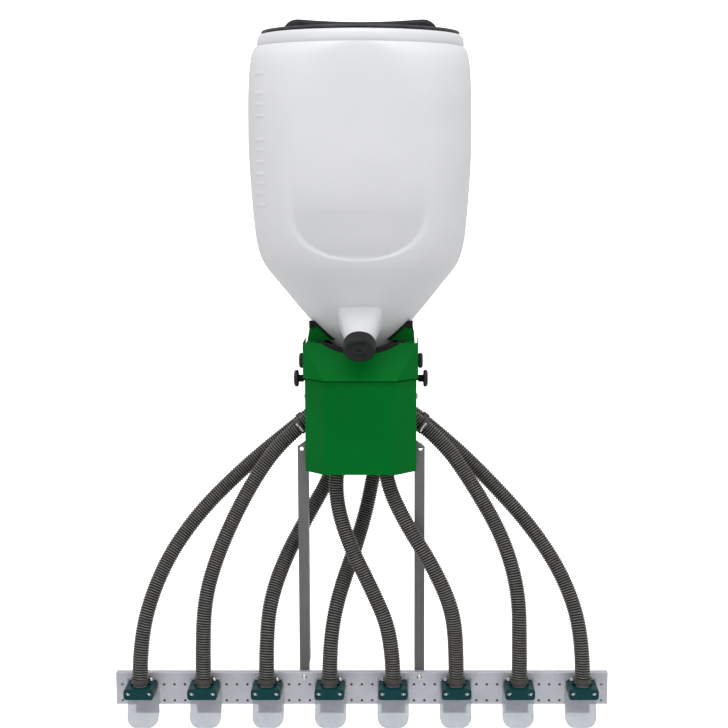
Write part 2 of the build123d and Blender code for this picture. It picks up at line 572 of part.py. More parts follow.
def deflector(x):
    """Clear plate behind the clamp, bent forward under the outlet, with rounded lower corners."""
    tilt = radians(DEFLECTOR_TILT)
    front, back = CLAMP_Y[1], CLAMP_Y[1] + DEFLECTOR_T
    drop, reach = DEFLECTOR_LENGTH * cos(tilt), DEFLECTOR_LENGTH * sin(tilt)
    skew = DEFLECTOR_T * tan(tilt / 2)
    low = DEFLECTOR_BEND_Z
    profile = [(front, DEFLECTOR_TOP_Z), (back, DEFLECTOR_TOP_Z), (back, low - skew / 2),
               (back - reach, low - drop + DEFLECTOR_T * sin(tilt) / 2), (front - reach, low - drop),
               (front, low + skew / 2)]
    plate = prism_yz(profile, (x - DEFLECTOR_X, x + DEFLECTOR_X))
    rounded = RectangleRounded(2 * DEFLECTOR_X, DEFLECTOR_TOP_Z - low + drop, DEFLECTOR_CORNER)
    outline = extrude(rounded, amount=400, both=True)
    outline = Pos(x, 0, (DEFLECTOR_TOP_Z + low - drop) / 2) * Rot(90, 0, 0) * outline
    outline += block((x - DEFLECTOR_X, x + DEFLECTOR_X), (-400, 400), (low, DEFLECTOR_TOP_Z))
    plate &= outline
    for at in (x - CLAMP_BOLT_X, x + CLAMP_BOLT_X):
        plate -= rod(RAIL_HOLE_R, (at, -400, RAIL_ROWS_Z[0]), (at, 0, RAIL_ROWS_Z[0]))
    return plate


def bracket(x):
    """Folded steel tongue behind the rail, in front of which the deflector hangs."""
    front = RAIL_BACK_Y
    wide = (x - BRACKET_X, x + BRACKET_X)
    low, high = LIP_Z
    plate = block(wide, (front, front + BRACKET_T), (high, RAIL_Z[1] - RAIL_CORNER - 2))
    plate += block(wide, (front, LIP_Y), (high, high + BRACKET_T))
    plate += block(wide, (LIP_Y - BRACKET_T, LIP_Y), (low, high + BRACKET_T))
    for at in (x - CLAMP_BOLT_X, x + CLAMP_BOLT_X):
        plate -= rod(RAIL_HOLE_R, (at, -400, RAIL_ROWS_Z[0]), (at, 0, RAIL_ROWS_Z[0]))
    return plate


def outlet_pipe(x):
    return ring(SPIGOT_R, SPIGOT_BORE_R, (x, OUTLET_Y, PIPE_Z[0]), (x, OUTLET_Y, PIPE_Z[1]))


# ---------------------------------------------------------------- struts
def strut():
    """Right-hand angle bar, its front leg cut back and rounded at the top."""
    front = RAIL_BACK_Y
    low, high = STRUT_Z
    leg = block(STRUT_X, (front, front + STRUT_T), STRUT_Z)
    leg = chamfer(leg.edges().filter_by(Axis.Y).sort_by(lambda e: e.center().X + e.center().Z)[-1], 16, 22)
    leg += block((STRUT_X[0], STRUT_X[0] + STRUT_T), (front, front + STRUT_DEPTH), (low + 90, high - 12))
    leg -= rod(4.5, (140, front - 1, high - 22), (140, front + 9, high - 22))
    z = STRUT_RAIL_BOLT_Z
    leg -= rod(STUD_R, (RAIL_BOLT_X, front - 1, z), (RAIL_BOLT_X, front + 9, z))
    for z in STRUT_SIDE_BOLTS_Z:
        leg -= rod(STUD_R, (STRUT_X[0] - 1, SIDE_BOLT_Y, z), (STRUT_X[0] + 9, SIDE_BOLT_Y, z))
    return leg


def fastener(start, end, radius, head):
    """A bolt from a head in front of start to a nut behind end."""
    start, end = Vector(*start), Vector(*end)
    along = (end - start).normalized()
    bolt = rod(radius, tuple(start - along), tuple(end + along * 8))
    bolt += rod(head, tuple(start - along * 4), tuple(start))
    return bolt + rod(head, tuple(end), tuple(end + along * 6))


def strut_bolts():
    back = RAIL_BACK_Y + STRUT_T
    z = STRUT_RAIL_BOLT_Z
    bolts = [fastener((RAIL_BOLT_X, RAIL_FRONT_Y, z), (RAIL_BOLT_X, back, z), STUD_R, 6.5)]
    outside, inside = STRUT_X[0] + STRUT_T, SIDE_X - SHEET
    for z in STRUT_SIDE_BOLTS_Z:
        bolts.append(fastener((outside, SIDE_BOLT_Y, z), (inside, SIDE_BOLT_Y, z), STUD_R, 6.5))
    return group(bolts + [mirrored(bolt) for bolt in bolts])


# ---------------------------------------------------------------- hoses
def bend_radii(points):
    """Each corner's arc: 0.45 of its shorter run, over the tangent of half the turn."""
    radii = []
    for before, at, after in zip(points, points[1:], points[2:]):
        one, two = Vector(*at) - Vector(*before), Vector(*after) - Vector(*at)
        turn = radians(one.get_angle(two))
        radii.append(0.45 * min(one.length, two.length) / tan(turn / 2))
    return radii


def hose_points(number):
    """The whole route: out along the spigot, through the stations, and straight down into the outlet."""
    start, along = spigots()[HOSE_SPIGOTS[number - 1]]
    slanted = abs(along.X) > 0.1
    inset, run = (SIDE_HOSE_START, SIDE_RUN) if slanted else (LOW_HOSE_START, LOW_RUN)
    begin = [start + along * inset, start + along * (inset + run)]
    x = OUTLETS[number - 1]
    foot = [(x, OUTLET_Y, HOSE_FOOT_Z[number - 1]), (x, OUTLET_Y, HOSE_END_Z)]
    return [tuple(point) for point in begin] + HOSE_ROUTES[number - 1] + foot


def hose(number):
    points = hose_points(number)
    radii = bend_radii(points)
    path = FilletPolyline(*points, radius=radii)
    start, along = path @ 0, path % 0
    section = Plane(origin=start, z_dir=along) * (Circle(HOSE_R) - Circle(HOSE_BORE_R))
    tube = sweep(section, path=path)
    area = (HOSE_R ** 2 - HOSE_BORE_R ** 2) * pi
    print(f"hose_{number}: length {path.length:.0f}, volume share {tube.volume / (area * path.length):.4f}, "
          f"radii {[round(r) for r in radii]}")
    return tube


def clip_at(point, along, facing):
    """Worm-drive clip: a band with its screw housing to one side."""
    half = Vector(*along).normalized() * (CLIP_WIDTH / 2)
    centre = Vector(*point)
    band = ring(HOSE_R + CLIP_T, HOSE_R, tuple(centre - half), tuple(centre + half))
    frame = Plane(origin=centre, x_dir=facing, z_dir=half)
    case = frame * Pos(HOSE_R + 3.6, 0, 0) * Box(7, 16, 9)
    screw = frame * Pos(HOSE_R + 5.4, 0, 0) * Rot(90, 0, 0) * Cylinder(3.4, 25)
    return band + (case + screw - frame * Cylinder(HOSE_R, 60))


def lower_clips():
    clips = []
    for x in OUTLETS:
        side = 1 if x < 0 else -1
        clips.append(clip_at((x, OUTLET_Y, HOSE_END_Z + 9), (0, 0, 1), (side, 0.75, 0)))
    return group(clips)


def upper_clips():
    clips = []
    for start, along in spigots():
        if abs(along.X) > 0.1:
            centre = start + along * 43
            facing = (0, 1 if start.Y > AXIS_Y else -1, 0)
        else:
            centre = start + along * 24
            facing = (start.X, start.Y - AXIS_Y, 0)
        clips.append(clip_at(tuple(centre), tuple(along), facing))
    return group(clips)


# ---------------------------------------------------------------- write every node
RIGHT_SIDE = side_plate()
RIGHT_STRUT = strut()
UPPER_KNOB = upper_knob()
LOWER_KNOB = lower_knob()

NODES = {
    "hopper_tank": hopper_tank(),
    "lid_seal": lid_seal(),
    "hopper_lid": hopper_lid(),
    "drain_cap": drain_cap(),
    "drain_gasket": drain_gasket(),
    "side_plate_left": mirrored(RIGHT_SIDE),
    "side_plate_right": RIGHT_SIDE,
    "rear_plate": rear_plate(),
    "chamber_shelf": chamber_shelf(),
    "block_shelf": block_shelf(),
    "hopper_cradle": hopper_cradle(),
    "front_bezel": front_bezel(),
    "bezel_trim": bezel_trim(),
    "wing_trim": wing_trim(),
    "front_cover": front_cover(),
    "upper_knob_left": mirrored(UPPER_KNOB),
    "upper_knob_right": UPPER_KNOB,
    "lower_knob_left": mirrored(LOWER_KNOB),
    "lower_knob_right": LOWER_KNOB,
    "guide_bolts": guide_bolts(),
    "cable_gland": cable_gland(),
    "dosing_block": dosing_block(),
    "dosing_slide": dosing_slide(),
    "actuator_body": actuator_body(),
    "actuator_rod": actuator_rod(),
    "drop_tube": drop_tube(),
    "distributor_chamber": distributor_chamber(),
    "hose_spigots": hose_spigots(),
    "chamber_lid": chamber_lid(),
    "distributor_rotor": distributor_rotor(),
    "rotor_shaft": rotor_shaft(),
    "stirrer": stirrer(),
    "shaft_bush": shaft_bush(),
    "motor": motor(),
    "outlet_rail": outlet_rail(),
    "clamp_bolts": clamp_bolts(),
    "deflectors": group([deflector(x) for x in OUTLETS]),
    "deflector_brackets": group([bracket(x) for x in OUTLETS]),
    "outlet_pipes": group([outlet_pipe(x) for x in OUTLETS]),
    "strut_left": mirrored(RIGHT_STRUT),
    "strut_right": RIGHT_STRUT,
    "strut_bolts": strut_bolts(),
    "lower_hose_clips": lower_clips(),
    "upper_hose_clips": upper_clips(),
}
for number, x in enumerate(OUTLETS, 1):
    NODES[f"pipe_clamp_{number}"] = pipe_clamp(x)
for number in range(1, len(HOSE_ROUTES) + 1):
    NODES[f"hose_{number}"] = hose(number)

for name, shape in NODES.items():
    save(name, shape)
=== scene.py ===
"""Looks of the mounted seed spreader: hopper, metering housing, eight hoses and the outlet rail. Metres."""
import json
from math import cos, exp, pi, radians, sin, sqrt

import bpy
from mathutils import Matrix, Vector

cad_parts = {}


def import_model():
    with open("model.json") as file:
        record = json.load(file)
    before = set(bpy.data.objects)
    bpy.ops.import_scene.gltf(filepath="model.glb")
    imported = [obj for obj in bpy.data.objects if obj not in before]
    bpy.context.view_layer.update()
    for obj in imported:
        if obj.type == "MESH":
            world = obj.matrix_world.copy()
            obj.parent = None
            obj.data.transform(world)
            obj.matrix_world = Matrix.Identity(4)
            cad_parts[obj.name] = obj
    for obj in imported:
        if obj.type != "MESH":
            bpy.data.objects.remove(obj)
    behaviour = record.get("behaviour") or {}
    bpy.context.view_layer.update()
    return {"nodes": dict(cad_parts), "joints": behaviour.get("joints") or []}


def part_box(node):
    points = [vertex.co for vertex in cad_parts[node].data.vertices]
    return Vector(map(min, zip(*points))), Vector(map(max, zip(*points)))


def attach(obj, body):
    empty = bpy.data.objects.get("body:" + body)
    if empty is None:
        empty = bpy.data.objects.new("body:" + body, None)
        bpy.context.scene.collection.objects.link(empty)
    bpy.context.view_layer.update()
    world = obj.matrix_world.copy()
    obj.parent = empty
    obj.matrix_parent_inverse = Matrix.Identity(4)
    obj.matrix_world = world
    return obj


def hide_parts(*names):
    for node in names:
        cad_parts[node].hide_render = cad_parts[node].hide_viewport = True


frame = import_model()
SKY_LOW, SKY_HIGH = 0.90, 0.72         # the studio's brightness from below and from overhead

# ---------------------------------------------------------------- places, from the frame
JOINTS = {joint["name"]: joint for joint in frame["joints"]}
AXIS_X, AXIS_Y = JOINTS["lid_turn"]["pos_m"][:2]
UP = Vector((0, 0, 1))
TANK_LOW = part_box("hopper_tank")[0]
LID_BASE, LID_TOP = (corner.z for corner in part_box("hopper_lid"))
CAP_AXIS = Vector(JOINTS["cap_turn"]["axis"]).normalized()
CAP_FACE = Vector(JOINTS["cap_turn"]["pos_m"])
RAIL_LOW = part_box("outlet_rail")[0]
OUTLET_X = [sum(c[0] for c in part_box(f"pipe_clamp_{i}")) / 2 for i in range(1, 9)]
OUTLET_Y = -0.2715                     # the outlet pipes' axes
SIDE_SPIGOT_X, SIDE_SPIGOT_Z = 0.112, -0.030     # the side spigots' roots
SIDE_SPIGOTS_Y = (-0.090, -0.160)
LOW_HOSE_Z = (-0.053, -0.115)          # a low hose's start and the end of its straight stretch
LOW_CLIP_Z, LOW_TUBE_Z = -0.069, -0.041          # the low spigots' clips and the tops of their tubes
CLAMP_BOLT_OFFSET = 0.025              # from a clamp's middle to each of its bolts
RAIL_BOLT_X, RAIL_BOLT_Z = 0.138, -0.657         # where the struts are bolted to the rail
SIDE_BOLT_X, SIDE_BOLTS_Z = 0.129, (-0.100, -0.130)     # and to the side plates


# ---------------------------------------------------------------- mesh helpers
def mesh_piece(name, points, faces, body, node_slot, material, smooth=True):
    """A new piece from points and faces, riding on a body."""
    mesh = bpy.data.meshes.new(name)
    mesh.from_pydata([tuple(p) for p in points], [], faces)
    mesh.validate()
    mesh.polygons.foreach_set("use_smooth", [smooth] * len(mesh.polygons))
    mesh.materials.append(material)
    mesh.update()
    piece = bpy.data.objects.new(name, mesh)
    bpy.context.scene.collection.objects.link(piece)
    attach(piece, body)
    return piece


def grid_faces(rows, columns, closed_rows=False, first=0):
    """Quads between rows of points, each row a closed loop of columns points."""
    faces = []
    last = rows if closed_rows else rows - 1
    for r in range(last):
        a, b = first + r * columns, first + (r + 1) % rows * columns
        for c in range(columns):
            d = (c + 1) % columns
            faces.append((a + c, a + d, b + d, b + c))
    return faces


def cap_face(row, columns, first=0, flip=False):
    """One polygon that closes a row."""
    ring = [first + row * columns + c for c in range(columns)]
    return tuple(reversed(ring)) if flip else tuple(ring)


def axes_about(along, facing=None):
    """Two directions square to along; the first is as near as it can be to facing."""
    along = Vector(along).normalized()
    if facing is None:
        facing = Vector((1, 0, 0)) if abs(along.x) < 0.9 else Vector((0, 1, 0))
    side = Vector(facing) - along * along.dot(Vector(facing))
    side.normalize()
    return side, along.cross(side)


def turned(profile, origin, along, segments=48, radius=lambda r, angle, k: r, facing=None, closed=False):
    """Points and faces of a profile of (radius, distance) pairs turned about an axis."""
    side, other = axes_about(along, facing)
    along = Vector(along).normalized()
    points = []
    for k, (r, t) in enumerate(profile):
        for c in range(segments):
            angle = 2 * pi * c / segments
            reach = radius(r, angle, k)
            points.append(Vector(origin) + along * t + side * reach * cos(angle) + other * reach * sin(angle))
    faces = grid_faces(len(profile), segments, closed)
    if not closed:
        faces += [cap_face(0, segments, flip=True), cap_face(len(profile) - 1, segments)]
    return points, faces


def merged(parts):
    """Points and faces of several (points, faces) pairs as one."""
    points, faces = [], []
    for part_points, part_faces in parts:
        base = len(points)
        points += part_points
        faces += [tuple(base + i for i in face) for face in part_faces]
    return points, faces


def rounded_box(centre, size, axes, corner, steps=4):
    """A box with rounded upright edges and eased rims; axes are its three directions."""
    half = [s / 2 for s in size]
    u, v, w = (Vector(a) for a in axes)
    outline = []
    for cx, cy, start in ((1, 1, 0), (-1, 1, 90), (-1, -1, 180), (1, -1, 270)):
        for k in range(steps + 1):
            angle = radians(start + 90 * k / steps)
            outline.append((cx * (half[0] - corner) + corner * cos(angle),
                            cy * (half[1] - corner) + corner * sin(angle)))
    ease = min(corner * 0.5, half[2] * 0.5)
    rows = [(-half[2], ease), (-half[2] + ease * 0.3, ease * 0.3), (-half[2] + ease, 0),
            (half[2] - ease, 0), (half[2] - ease * 0.3, ease * 0.3), (half[2], ease)]
    points = []
    for height, inset in rows:
        for x, y in outline:
            sx, sy = 1 - inset / half[0], 1 - inset / half[1]
            points.append(Vector(centre) + u * x * sx + v * y * sy + w * height)
    count = len(outline)
    faces = grid_faces(len(rows), count)
    return points, faces + [cap_face(0, count, flip=True), cap_face(len(rows) - 1, count)]


def soften(node, width, segments=2, angle=30):
    """Eases a CAD node's edges without touching its mesh."""
    piece = frame["nodes"][node]
    weld = piece.modifiers.new("Weld", "WELD")
    weld.merge_threshold = 0.00002
    bevel = piece.modifiers.new("Bevel", "BEVEL")
    bevel.width, bevel.segments = width, segments
    bevel.limit_method, bevel.angle_limit = "ANGLE", radians(angle)
    bevel.use_clamp_overlap = True
    bevel.harden_normals = False
    normals = piece.modifiers.new("Normals", "WEIGHTED_NORMAL")
    normals.keep_sharp = False
    normals.weight = 80
    return piece


def finish_node(node, material, width=0.0005, segments=2):
    """Gives a CAD node its material, and eases its edges unless width is 0."""
    piece = soften(node, width, segments) if width else frame["nodes"][node]
    for place in piece.material_slots:
        place.material = material
    if not piece.material_slots:
        piece.data.materials.append(material)
    return piece


# ---------------------------------------------------------------- materials
class Finish:
    """A Principled material with a few node helpers."""

    def __init__(self, name, roughness, metallic=0.0, specular=0.5):
        self.material = bpy.data.materials.new(name)
        self.material.use_nodes = True
        self.tree = self.material.node_tree
        self.shader = self.tree.nodes["Principled BSDF"]
        self.shader.inputs["Roughness"].default_value = roughness
        self.shader.inputs["Metallic"].default_value = metallic
        self.shader.inputs["Specular IOR Level"].default_value = specular
        self.place = self.tree.nodes.new("ShaderNodeTexCoord").outputs["Object"]

    def link(self, out, into):
        self.tree.links.new(out, into)

    def noise(self, scale, detail=3.0, stretch=(1, 1, 1), distortion=0.0):
        """Noise in metres: scale is patches to a metre, stretch drags it along an axis."""
        mapping = self.tree.nodes.new("ShaderNodeMapping")
        mapping.inputs["Scale"].default_value = stretch
        self.link(self.place, mapping.inputs["Vector"])
        node = self.tree.nodes.new("ShaderNodeTexNoise")
        node.inputs["Scale"].default_value = scale
        node.inputs["Detail"].default_value = detail
        node.inputs["Distortion"].default_value = distortion
        self.link(mapping.outputs["Vector"], node.inputs["Vector"])
        return node.outputs["Fac"]

    def edges(self, radius):
        """1 on outer edges, 0 elsewhere, from the mesh's pointiness."""
        node = self.tree.nodes.new("ShaderNodeNewGeometry")
        ramp = self.tree.nodes.new("ShaderNodeMapRange")
        ramp.inputs["From Min"].default_value = 0.5 + radius
        ramp.inputs["From Max"].default_value = 0.5 + radius * 3
        self.link(node.outputs["Pointiness"], ramp.inputs["Value"])
        return ramp.outputs["Result"]

    def mix(self, factor, first, second):
        """A colour between two colours; each may be a constant or a socket."""
        node = self.tree.nodes.new("ShaderNodeMix")
        node.data_type = "RGBA"
        self.link(factor, node.inputs["Factor"])
        for value, socket in ((first, node.inputs[6]), (second, node.inputs[7])):
            if isinstance(value, tuple):
                socket.default_value = value
            else:
                self.link(value, socket)
        return node.outputs[2]

    def ranged(self, value, low, high, out_low, out_high):
        node = self.tree.nodes.new("ShaderNodeMapRange")
        limits = (("From Min", low), ("From Max", high), ("To Min", out_low), ("To Max", out_high))
        for name, number in limits:
            node.inputs[name].default_value = number
        self.link(value, node.inputs["Value"])
        return node.outputs["Result"]

    def colour(self, socket):
        self.link(socket, self.shader.inputs["Base Color"])

    def rough(self, socket):
        self.link(socket, self.shader.inputs["Roughness"])

    def bump(self, height, strength, distance):
        """Adds a bump; later bumps stack on earlier ones."""
        node = self.tree.nodes.new("ShaderNodeBump")
        node.inputs["Strength"].default_value = strength
        node.inputs["Distance"].default_value = distance
        self.link(height, node.inputs["Height"])
        if self.shader.inputs["Normal"].is_linked:
            earlier = self.shader.inputs["Normal"].links[0].from_socket
            self.link(earlier, node.inputs["Normal"])
        self.link(node.outputs["Normal"], self.shader.inputs["Normal"])


def moulded_white():
    """Rotationally moulded polyethylene: milky, faintly mottled, with a fine orange peel."""
    f = Finish("moulded_white", 0.4, specular=0.35)
    mottle = f.ranged(f.noise(7, 4), 0.3, 0.7, 0, 1)
    f.colour(f.mix(mottle, (0.640, 0.646, 0.664, 1), (0.672, 0.676, 0.690, 1)))
    f.rough(f.ranged(f.noise(30, 3), 0.3, 0.7, 0.34, 0.46))
    f.bump(f.noise(350, 3), 0.12, 0.0006)
    f.bump(f.noise(14, 2), 0.10, 0.004)
    f.shader.inputs["Subsurface Weight"].default_value = 0.12
    f.shader.inputs["Subsurface Radius"].default_value = (0.02, 0.02, 0.018)
    f.shader.inputs["Subsurface Scale"].default_value = 0.5
    return f.material


def powder_green(name, low, high):
    """Powder coat: deep colour, fine orange peel, and a painted highlight of lighter green along the sheet
    edges, broken up by noise.
    """
    f = Finish(name, 0.42, specular=0.035)
    base = f.mix(f.ranged(f.noise(9, 4), 0.3, 0.7, 0, 1), low, high)
    # painted highlight: a lighter green on the convex sheet edges, found from pointiness and patched by noise
    edge_highlight = f.tree.nodes.new("ShaderNodeMath")
    edge_highlight.operation = "MULTIPLY"
    f.link(f.edges(0.03), edge_highlight.inputs[0])
    f.link(f.ranged(f.noise(140, 4), 0.5, 0.75, 0, 0.55), edge_highlight.inputs[1])
    f.colour(f.mix(edge_highlight.outputs[0], base, (0.02, 0.20, 0.06, 1)))
    f.rough(f.ranged(f.noise(60, 3), 0.3, 0.7, 0.33, 0.45))
    f.bump(f.noise(1100, 2), 0.16, 0.0002)
    f.bump(f.noise(240, 2), 0.08, 0.0004)
    return f.material


def moulded_black(name, shade, roughness, grain=1500):
    """Moulded plastic with a spark-eroded grain and slightly polished high spots."""
    f = Finish(name, roughness, specular=0.25)
    light = tuple(min(1, c * 1.6 + 0.004) for c in shade[:3]) + (1,)
    f.colour(f.mix(f.ranged(f.noise(45, 4), 0.35, 0.7, 0, 1), shade, light))
    f.rough(f.ranged(f.noise(90, 3), 0.3, 0.7, roughness - 0.06, roughness + 0.08))
    f.bump(f.noise(grain, 2), 0.22, 0.00025)
    return f.material


def hose_rubber():
    """Corrugated plastic hose: crests painted a lighter grey as a painted highlight with some dust in it,
    grooves painted black as painted shade.
    """
    f = Finish("hose_rubber", 0.40, specular=0.35)
    node = f.tree.nodes.new("ShaderNodeAttribute")
    node.attribute_name = "rib"
    dust = f.ranged(f.noise(70, 5), 0.42, 0.72, 0, 1)
    crest = f.mix(dust, (0.170, 0.160, 0.148, 1), (0.260, 0.245, 0.228, 1))
    # painted highlight on the rib crests and painted shade in the grooves, driven by the rib attribute; the
    # dust noise only varies the crest grey
    f.colour(f.mix(f.ranged(node.outputs["Fac"], 0.35, 1.0, 0, 1), (0.0020, 0.0019, 0.0019, 1), crest))
    f.rough(f.ranged(f.noise(120, 4), 0.3, 0.7, 0.34, 0.48))
    f.bump(f.noise(1800, 2), 0.12, 0.0001)
    return f.material


def rubber_trim():
    f = Finish("rubber_trim", 0.55, specular=0.2)
    mottle = f.ranged(f.noise(80, 4), 0.3, 0.7, 0, 1)
    f.colour(f.mix(mottle, (0.0025, 0.0025, 0.003, 1), (0.006, 0.006, 0.0065, 1)))
    f.rough(f.ranged(f.noise(160, 3), 0.3, 0.7, 0.46, 0.64))
    f.bump(f.noise(1400, 3), 0.25, 0.0002)
    return f.material


def zinc_sheet(name, tone, stretch, metallic=0.55, roughness=0.42):
    """Zinc-plated sheet: fine rolling lines, cloudy passivation and a few darker spots."""
    f = Finish(name, roughness, metallic=metallic, specular=0.5)
    cloud = f.ranged(f.noise(18, 5, distortion=0.6), 0.3, 0.7, 0, 1)
    dark = tuple(c * 0.86 for c in tone[:3]) + (1,)
    base = f.mix(cloud, dark, tone)
    spots = f.ranged(f.noise(320, 2), 0.70, 0.78, 0, 0.5)
    f.colour(f.mix(spots, base, tuple(c * 0.6 for c in tone[:3]) + (1,)))
    f.rough(f.ranged(f.noise(55, 4), 0.3, 0.7, roughness - 0.08, roughness + 0.10))
    f.bump(f.noise(900, 3, stretch=stretch), 0.10, 0.0001)
    return f.material


def bright_steel():
    """Bright zinc on small parts, with turning marks too fine to resolve."""
    f = Finish("bright_steel", 0.24, metallic=1.0)
    f.colour(f.mix(f.ranged(f.noise(240, 4), 0.3, 0.7, 0, 1), (0.58, 0.585, 0.60, 1), (0.80, 0.80, 0.80, 1)))
    f.rough(f.ranged(f.noise(420, 3), 0.3, 0.7, 0.18, 0.34))
    f.bump(f.noise(2600, 2), 0.08, 0.00008)
    return f.material


def clamp_teal():
    """Glass-filled polypropylene, dark green, with flow marks."""
    f = Finish("clamp_teal", 0.34, specular=0.14)
    flow = f.ranged(f.noise(60, 4, stretch=(1, 3, 1), distortion=0.8), 0.3, 0.7, 0, 1)
    f.colour(f.mix(flow, (0.0005, 0.036, 0.043, 1), (0.001, 0.048, 0.056, 1)))
    f.rough(f.ranged(f.noise(200, 3), 0.3, 0.7, 0.30, 0.44))
    f.bump(f.noise(1600, 2), 0.18, 0.00015)
    return f.material


def clear_plastic():
    """Clear polycarbonate with a faint grey body, fine scratches and a little dust."""
    f = Finish("clear_plastic", 0.12, specular=0.5)
    dust = f.ranged(f.noise(90, 5), 0.35, 0.75, 0, 1)
    f.colour(f.mix(dust, (0.62, 0.64, 0.68, 1), (0.56, 0.585, 0.63, 1)))
    f.rough(f.ranged(f.noise(260, 4, stretch=(1, 1, 0.15)), 0.35, 0.7, 0.12, 0.22))
    f.shader.inputs["Transmission Weight"].default_value = 0.5
    f.shader.inputs["IOR"].default_value = 1.2
    return f.material


def bronze():
    f = Finish("bronze", 0.32, metallic=1.0)
    f.colour(f.mix(f.ranged(f.noise(160, 4), 0.3, 0.7, 0, 1), (0.40, 0.25, 0.10, 1), (0.55, 0.36, 0.15, 1)))
    f.rough(f.ranged(f.noise(300, 3), 0.3, 0.7, 0.24, 0.42))
    return f.material


WHITE = moulded_white()
GREEN = powder_green("powder_green", (0.0001, 0.124, 0.014, 1), (0.0001, 0.142, 0.018, 1))
GRIP_BLACK = moulded_black("grip_black", (0.009, 0.009, 0.010, 1), 0.5, 900)
LID_BLACK = moulded_black("lid_black", (0.034, 0.035, 0.038, 1), 0.42, 900)
CAP_BLACK = moulded_black("cap_black", (0.006, 0.007, 0.008, 1), 0.46)
KNOB_BLACK = moulded_black("knob_black", (0.012, 0.012, 0.014, 1), 0.40)
MOTOR_BLACK = moulded_black("motor_black", (0.018, 0.018, 0.020, 1), 0.36, 2200)
METER_GREY = moulded_black("meter_grey", (0.16, 0.165, 0.17, 1), 0.48)
PIPE_GREY = moulded_black("pipe_grey", (0.20, 0.205, 0.21, 1), 0.40)
HOSE = hose_rubber()
TRIM = rubber_trim()
RAIL_ZINC = zinc_sheet("rail_zinc", (0.56, 0.565, 0.62, 1), (0.05, 1, 1), 0.2, 0.42)
STRUT_ZINC = zinc_sheet("strut_zinc", (0.155, 0.154, 0.158, 1), (1, 1, 0.05), 0.35, 0.42)
BRACKET_ZINC = zinc_sheet("bracket_zinc", (0.13, 0.13, 0.14, 1), (0.2, 1, 1), 0.4, 0.5)
STEEL = bright_steel()
DULL_STEEL = zinc_sheet("dull_steel", (0.075, 0.068, 0.064, 1), (1, 1, 1), 0.3, 0.45)
TEAL = clamp_teal()
CLEAR = clear_plastic()
BRONZE = bronze()


# ---------------------------------------------------------------- camera, light and stage
def camera():
    data = bpy.data.cameras.new("Camera")
    data.lens, data.sensor_width = 72.05, 36.0
    data.shift_x = -0.0518
    data.clip_end = 60
    eye = bpy.data.objects.new("Camera", data)
    eye.location = (0.0956, -3.586, 0.595)
    eye.rotation_euler = (radians(90 - 8.36), 0, 0)
    bpy.context.scene.collection.objects.link(eye)
    bpy.context.scene.camera = eye


def area_light(name, place, target, size, power):
    data = bpy.data.lights.new(name, "AREA")
    data.shape, data.size, data.size_y = "RECTANGLE", size[0], size[1]
    data.energy = power
    lamp = bpy.data.objects.new(name, data)
    lamp.location = place
    lamp.rotation_euler = (Vector(target) - Vector(place)).to_track_quat("-Z", "Y").to_euler()
    bpy.context.scene.collection.objects.link(lamp)


def stage():
    """A pale round floor that sweeps up into a wall well away, and throws no light back on the object."""
    floor_z, reach, bend, height = RAIL_LOW.z - 0.35, 8.0, 2.5, 9.0
    profile = [(0.01, 0.0), (reach - bend, 0.0)]
    for a in range(10, 91, 10):
        profile.append((reach - bend + bend * sin(radians(a)), bend * (1 - cos(radians(a)))))
    profile.append((reach, height))
    points, _ = turned(profile, (0, 0, floor_z), UP, 96, closed=True)
    mesh = bpy.data.meshes.new("backdrop")
    mesh.from_pydata([tuple(p) for p in points], [], grid_faces(len(profile), 96) + [cap_face(0, 96)])
    mesh.polygons.foreach_set("use_smooth", [True] * len(mesh.polygons))
    pale = Finish("backdrop_pale", 0.9, specular=0.1)
    pale.shader.inputs["Base Color"].default_value = (0.92, 0.92, 0.92, 1)
    pale.shader.inputs["Emission Color"].default_value = (1, 1, 1, 1)
    pale.shader.inputs["Emission Strength"].default_value = 0.85
    mesh.materials.append(pale.material)
    backdrop = bpy.data.objects.new("backdrop", mesh)
    backdrop.visible_diffuse = False
    backdrop.visible_glossy = False
    bpy.context.scene.collection.objects.link(backdrop)


def world():
    """A white studio sky."""
    sky = bpy.data.worlds.new("studio")
    sky.use_nodes = True
    nodes, links = sky.node_tree.nodes, sky.node_tree.links
    place = nodes.new("ShaderNodeTexCoord").outputs["Generated"]
    split = nodes.new("ShaderNodeSeparateXYZ")
    ramp = nodes.new("ShaderNodeMapRange")
    links.new(place, split.inputs[0])
    links.new(split.outputs["Z"], ramp.inputs["Value"])
    for name, number in (("From Min", -1), ("From Max", 1), ("To Min", SKY_LOW), ("To Max", SKY_HIGH)):
        ramp.inputs[name].default_value = number
    background = nodes["Background"]
    background.inputs["Color"].default_value = (1, 1, 1, 1)
    links.new(ramp.outputs["Result"], background.inputs["Strength"])
    bpy.context.scene.world = sky
    bpy.context.scene.view_settings.view_transform = "Standard"


# ---------------------------------------------------------------- hoses
HOSE_DIAMETER = 0.038
HOSE_BORE = 0.032
RIB_PITCH = 0.0060
RIB_DEPTH = 0.0027
RINGS_TO_RIB = 7
SIDE_TILT = radians(38)
SIDE_START = (SIDE_SPIGOT_X + 0.014 * cos(SIDE_TILT), SIDE_SPIGOT_Z - 0.014 * sin(SIDE_TILT))
SIDE_BEND = (SIDE_SPIGOT_X + 0.099 * cos(SIDE_TILT), SIDE_SPIGOT_Z - 0.099 * sin(SIDE_TILT))
HOSE_END_Z = -0.660


def side_start(side, y):
    """A hose leaves a side spigot along the spigot's slant."""
    return [(side * SIDE_START[0], y, SIDE_START[1]), (side * SIDE_BEND[0], y, SIDE_BEND[1])]


def side_root(side, y):
    """The root of a side spigot."""
    return Vector((side * SIDE_SPIGOT_X, y, SIDE_SPIGOT_Z))


def low_start(x, y):
    return [(x, y, z) for z in LOW_HOSE_Z]


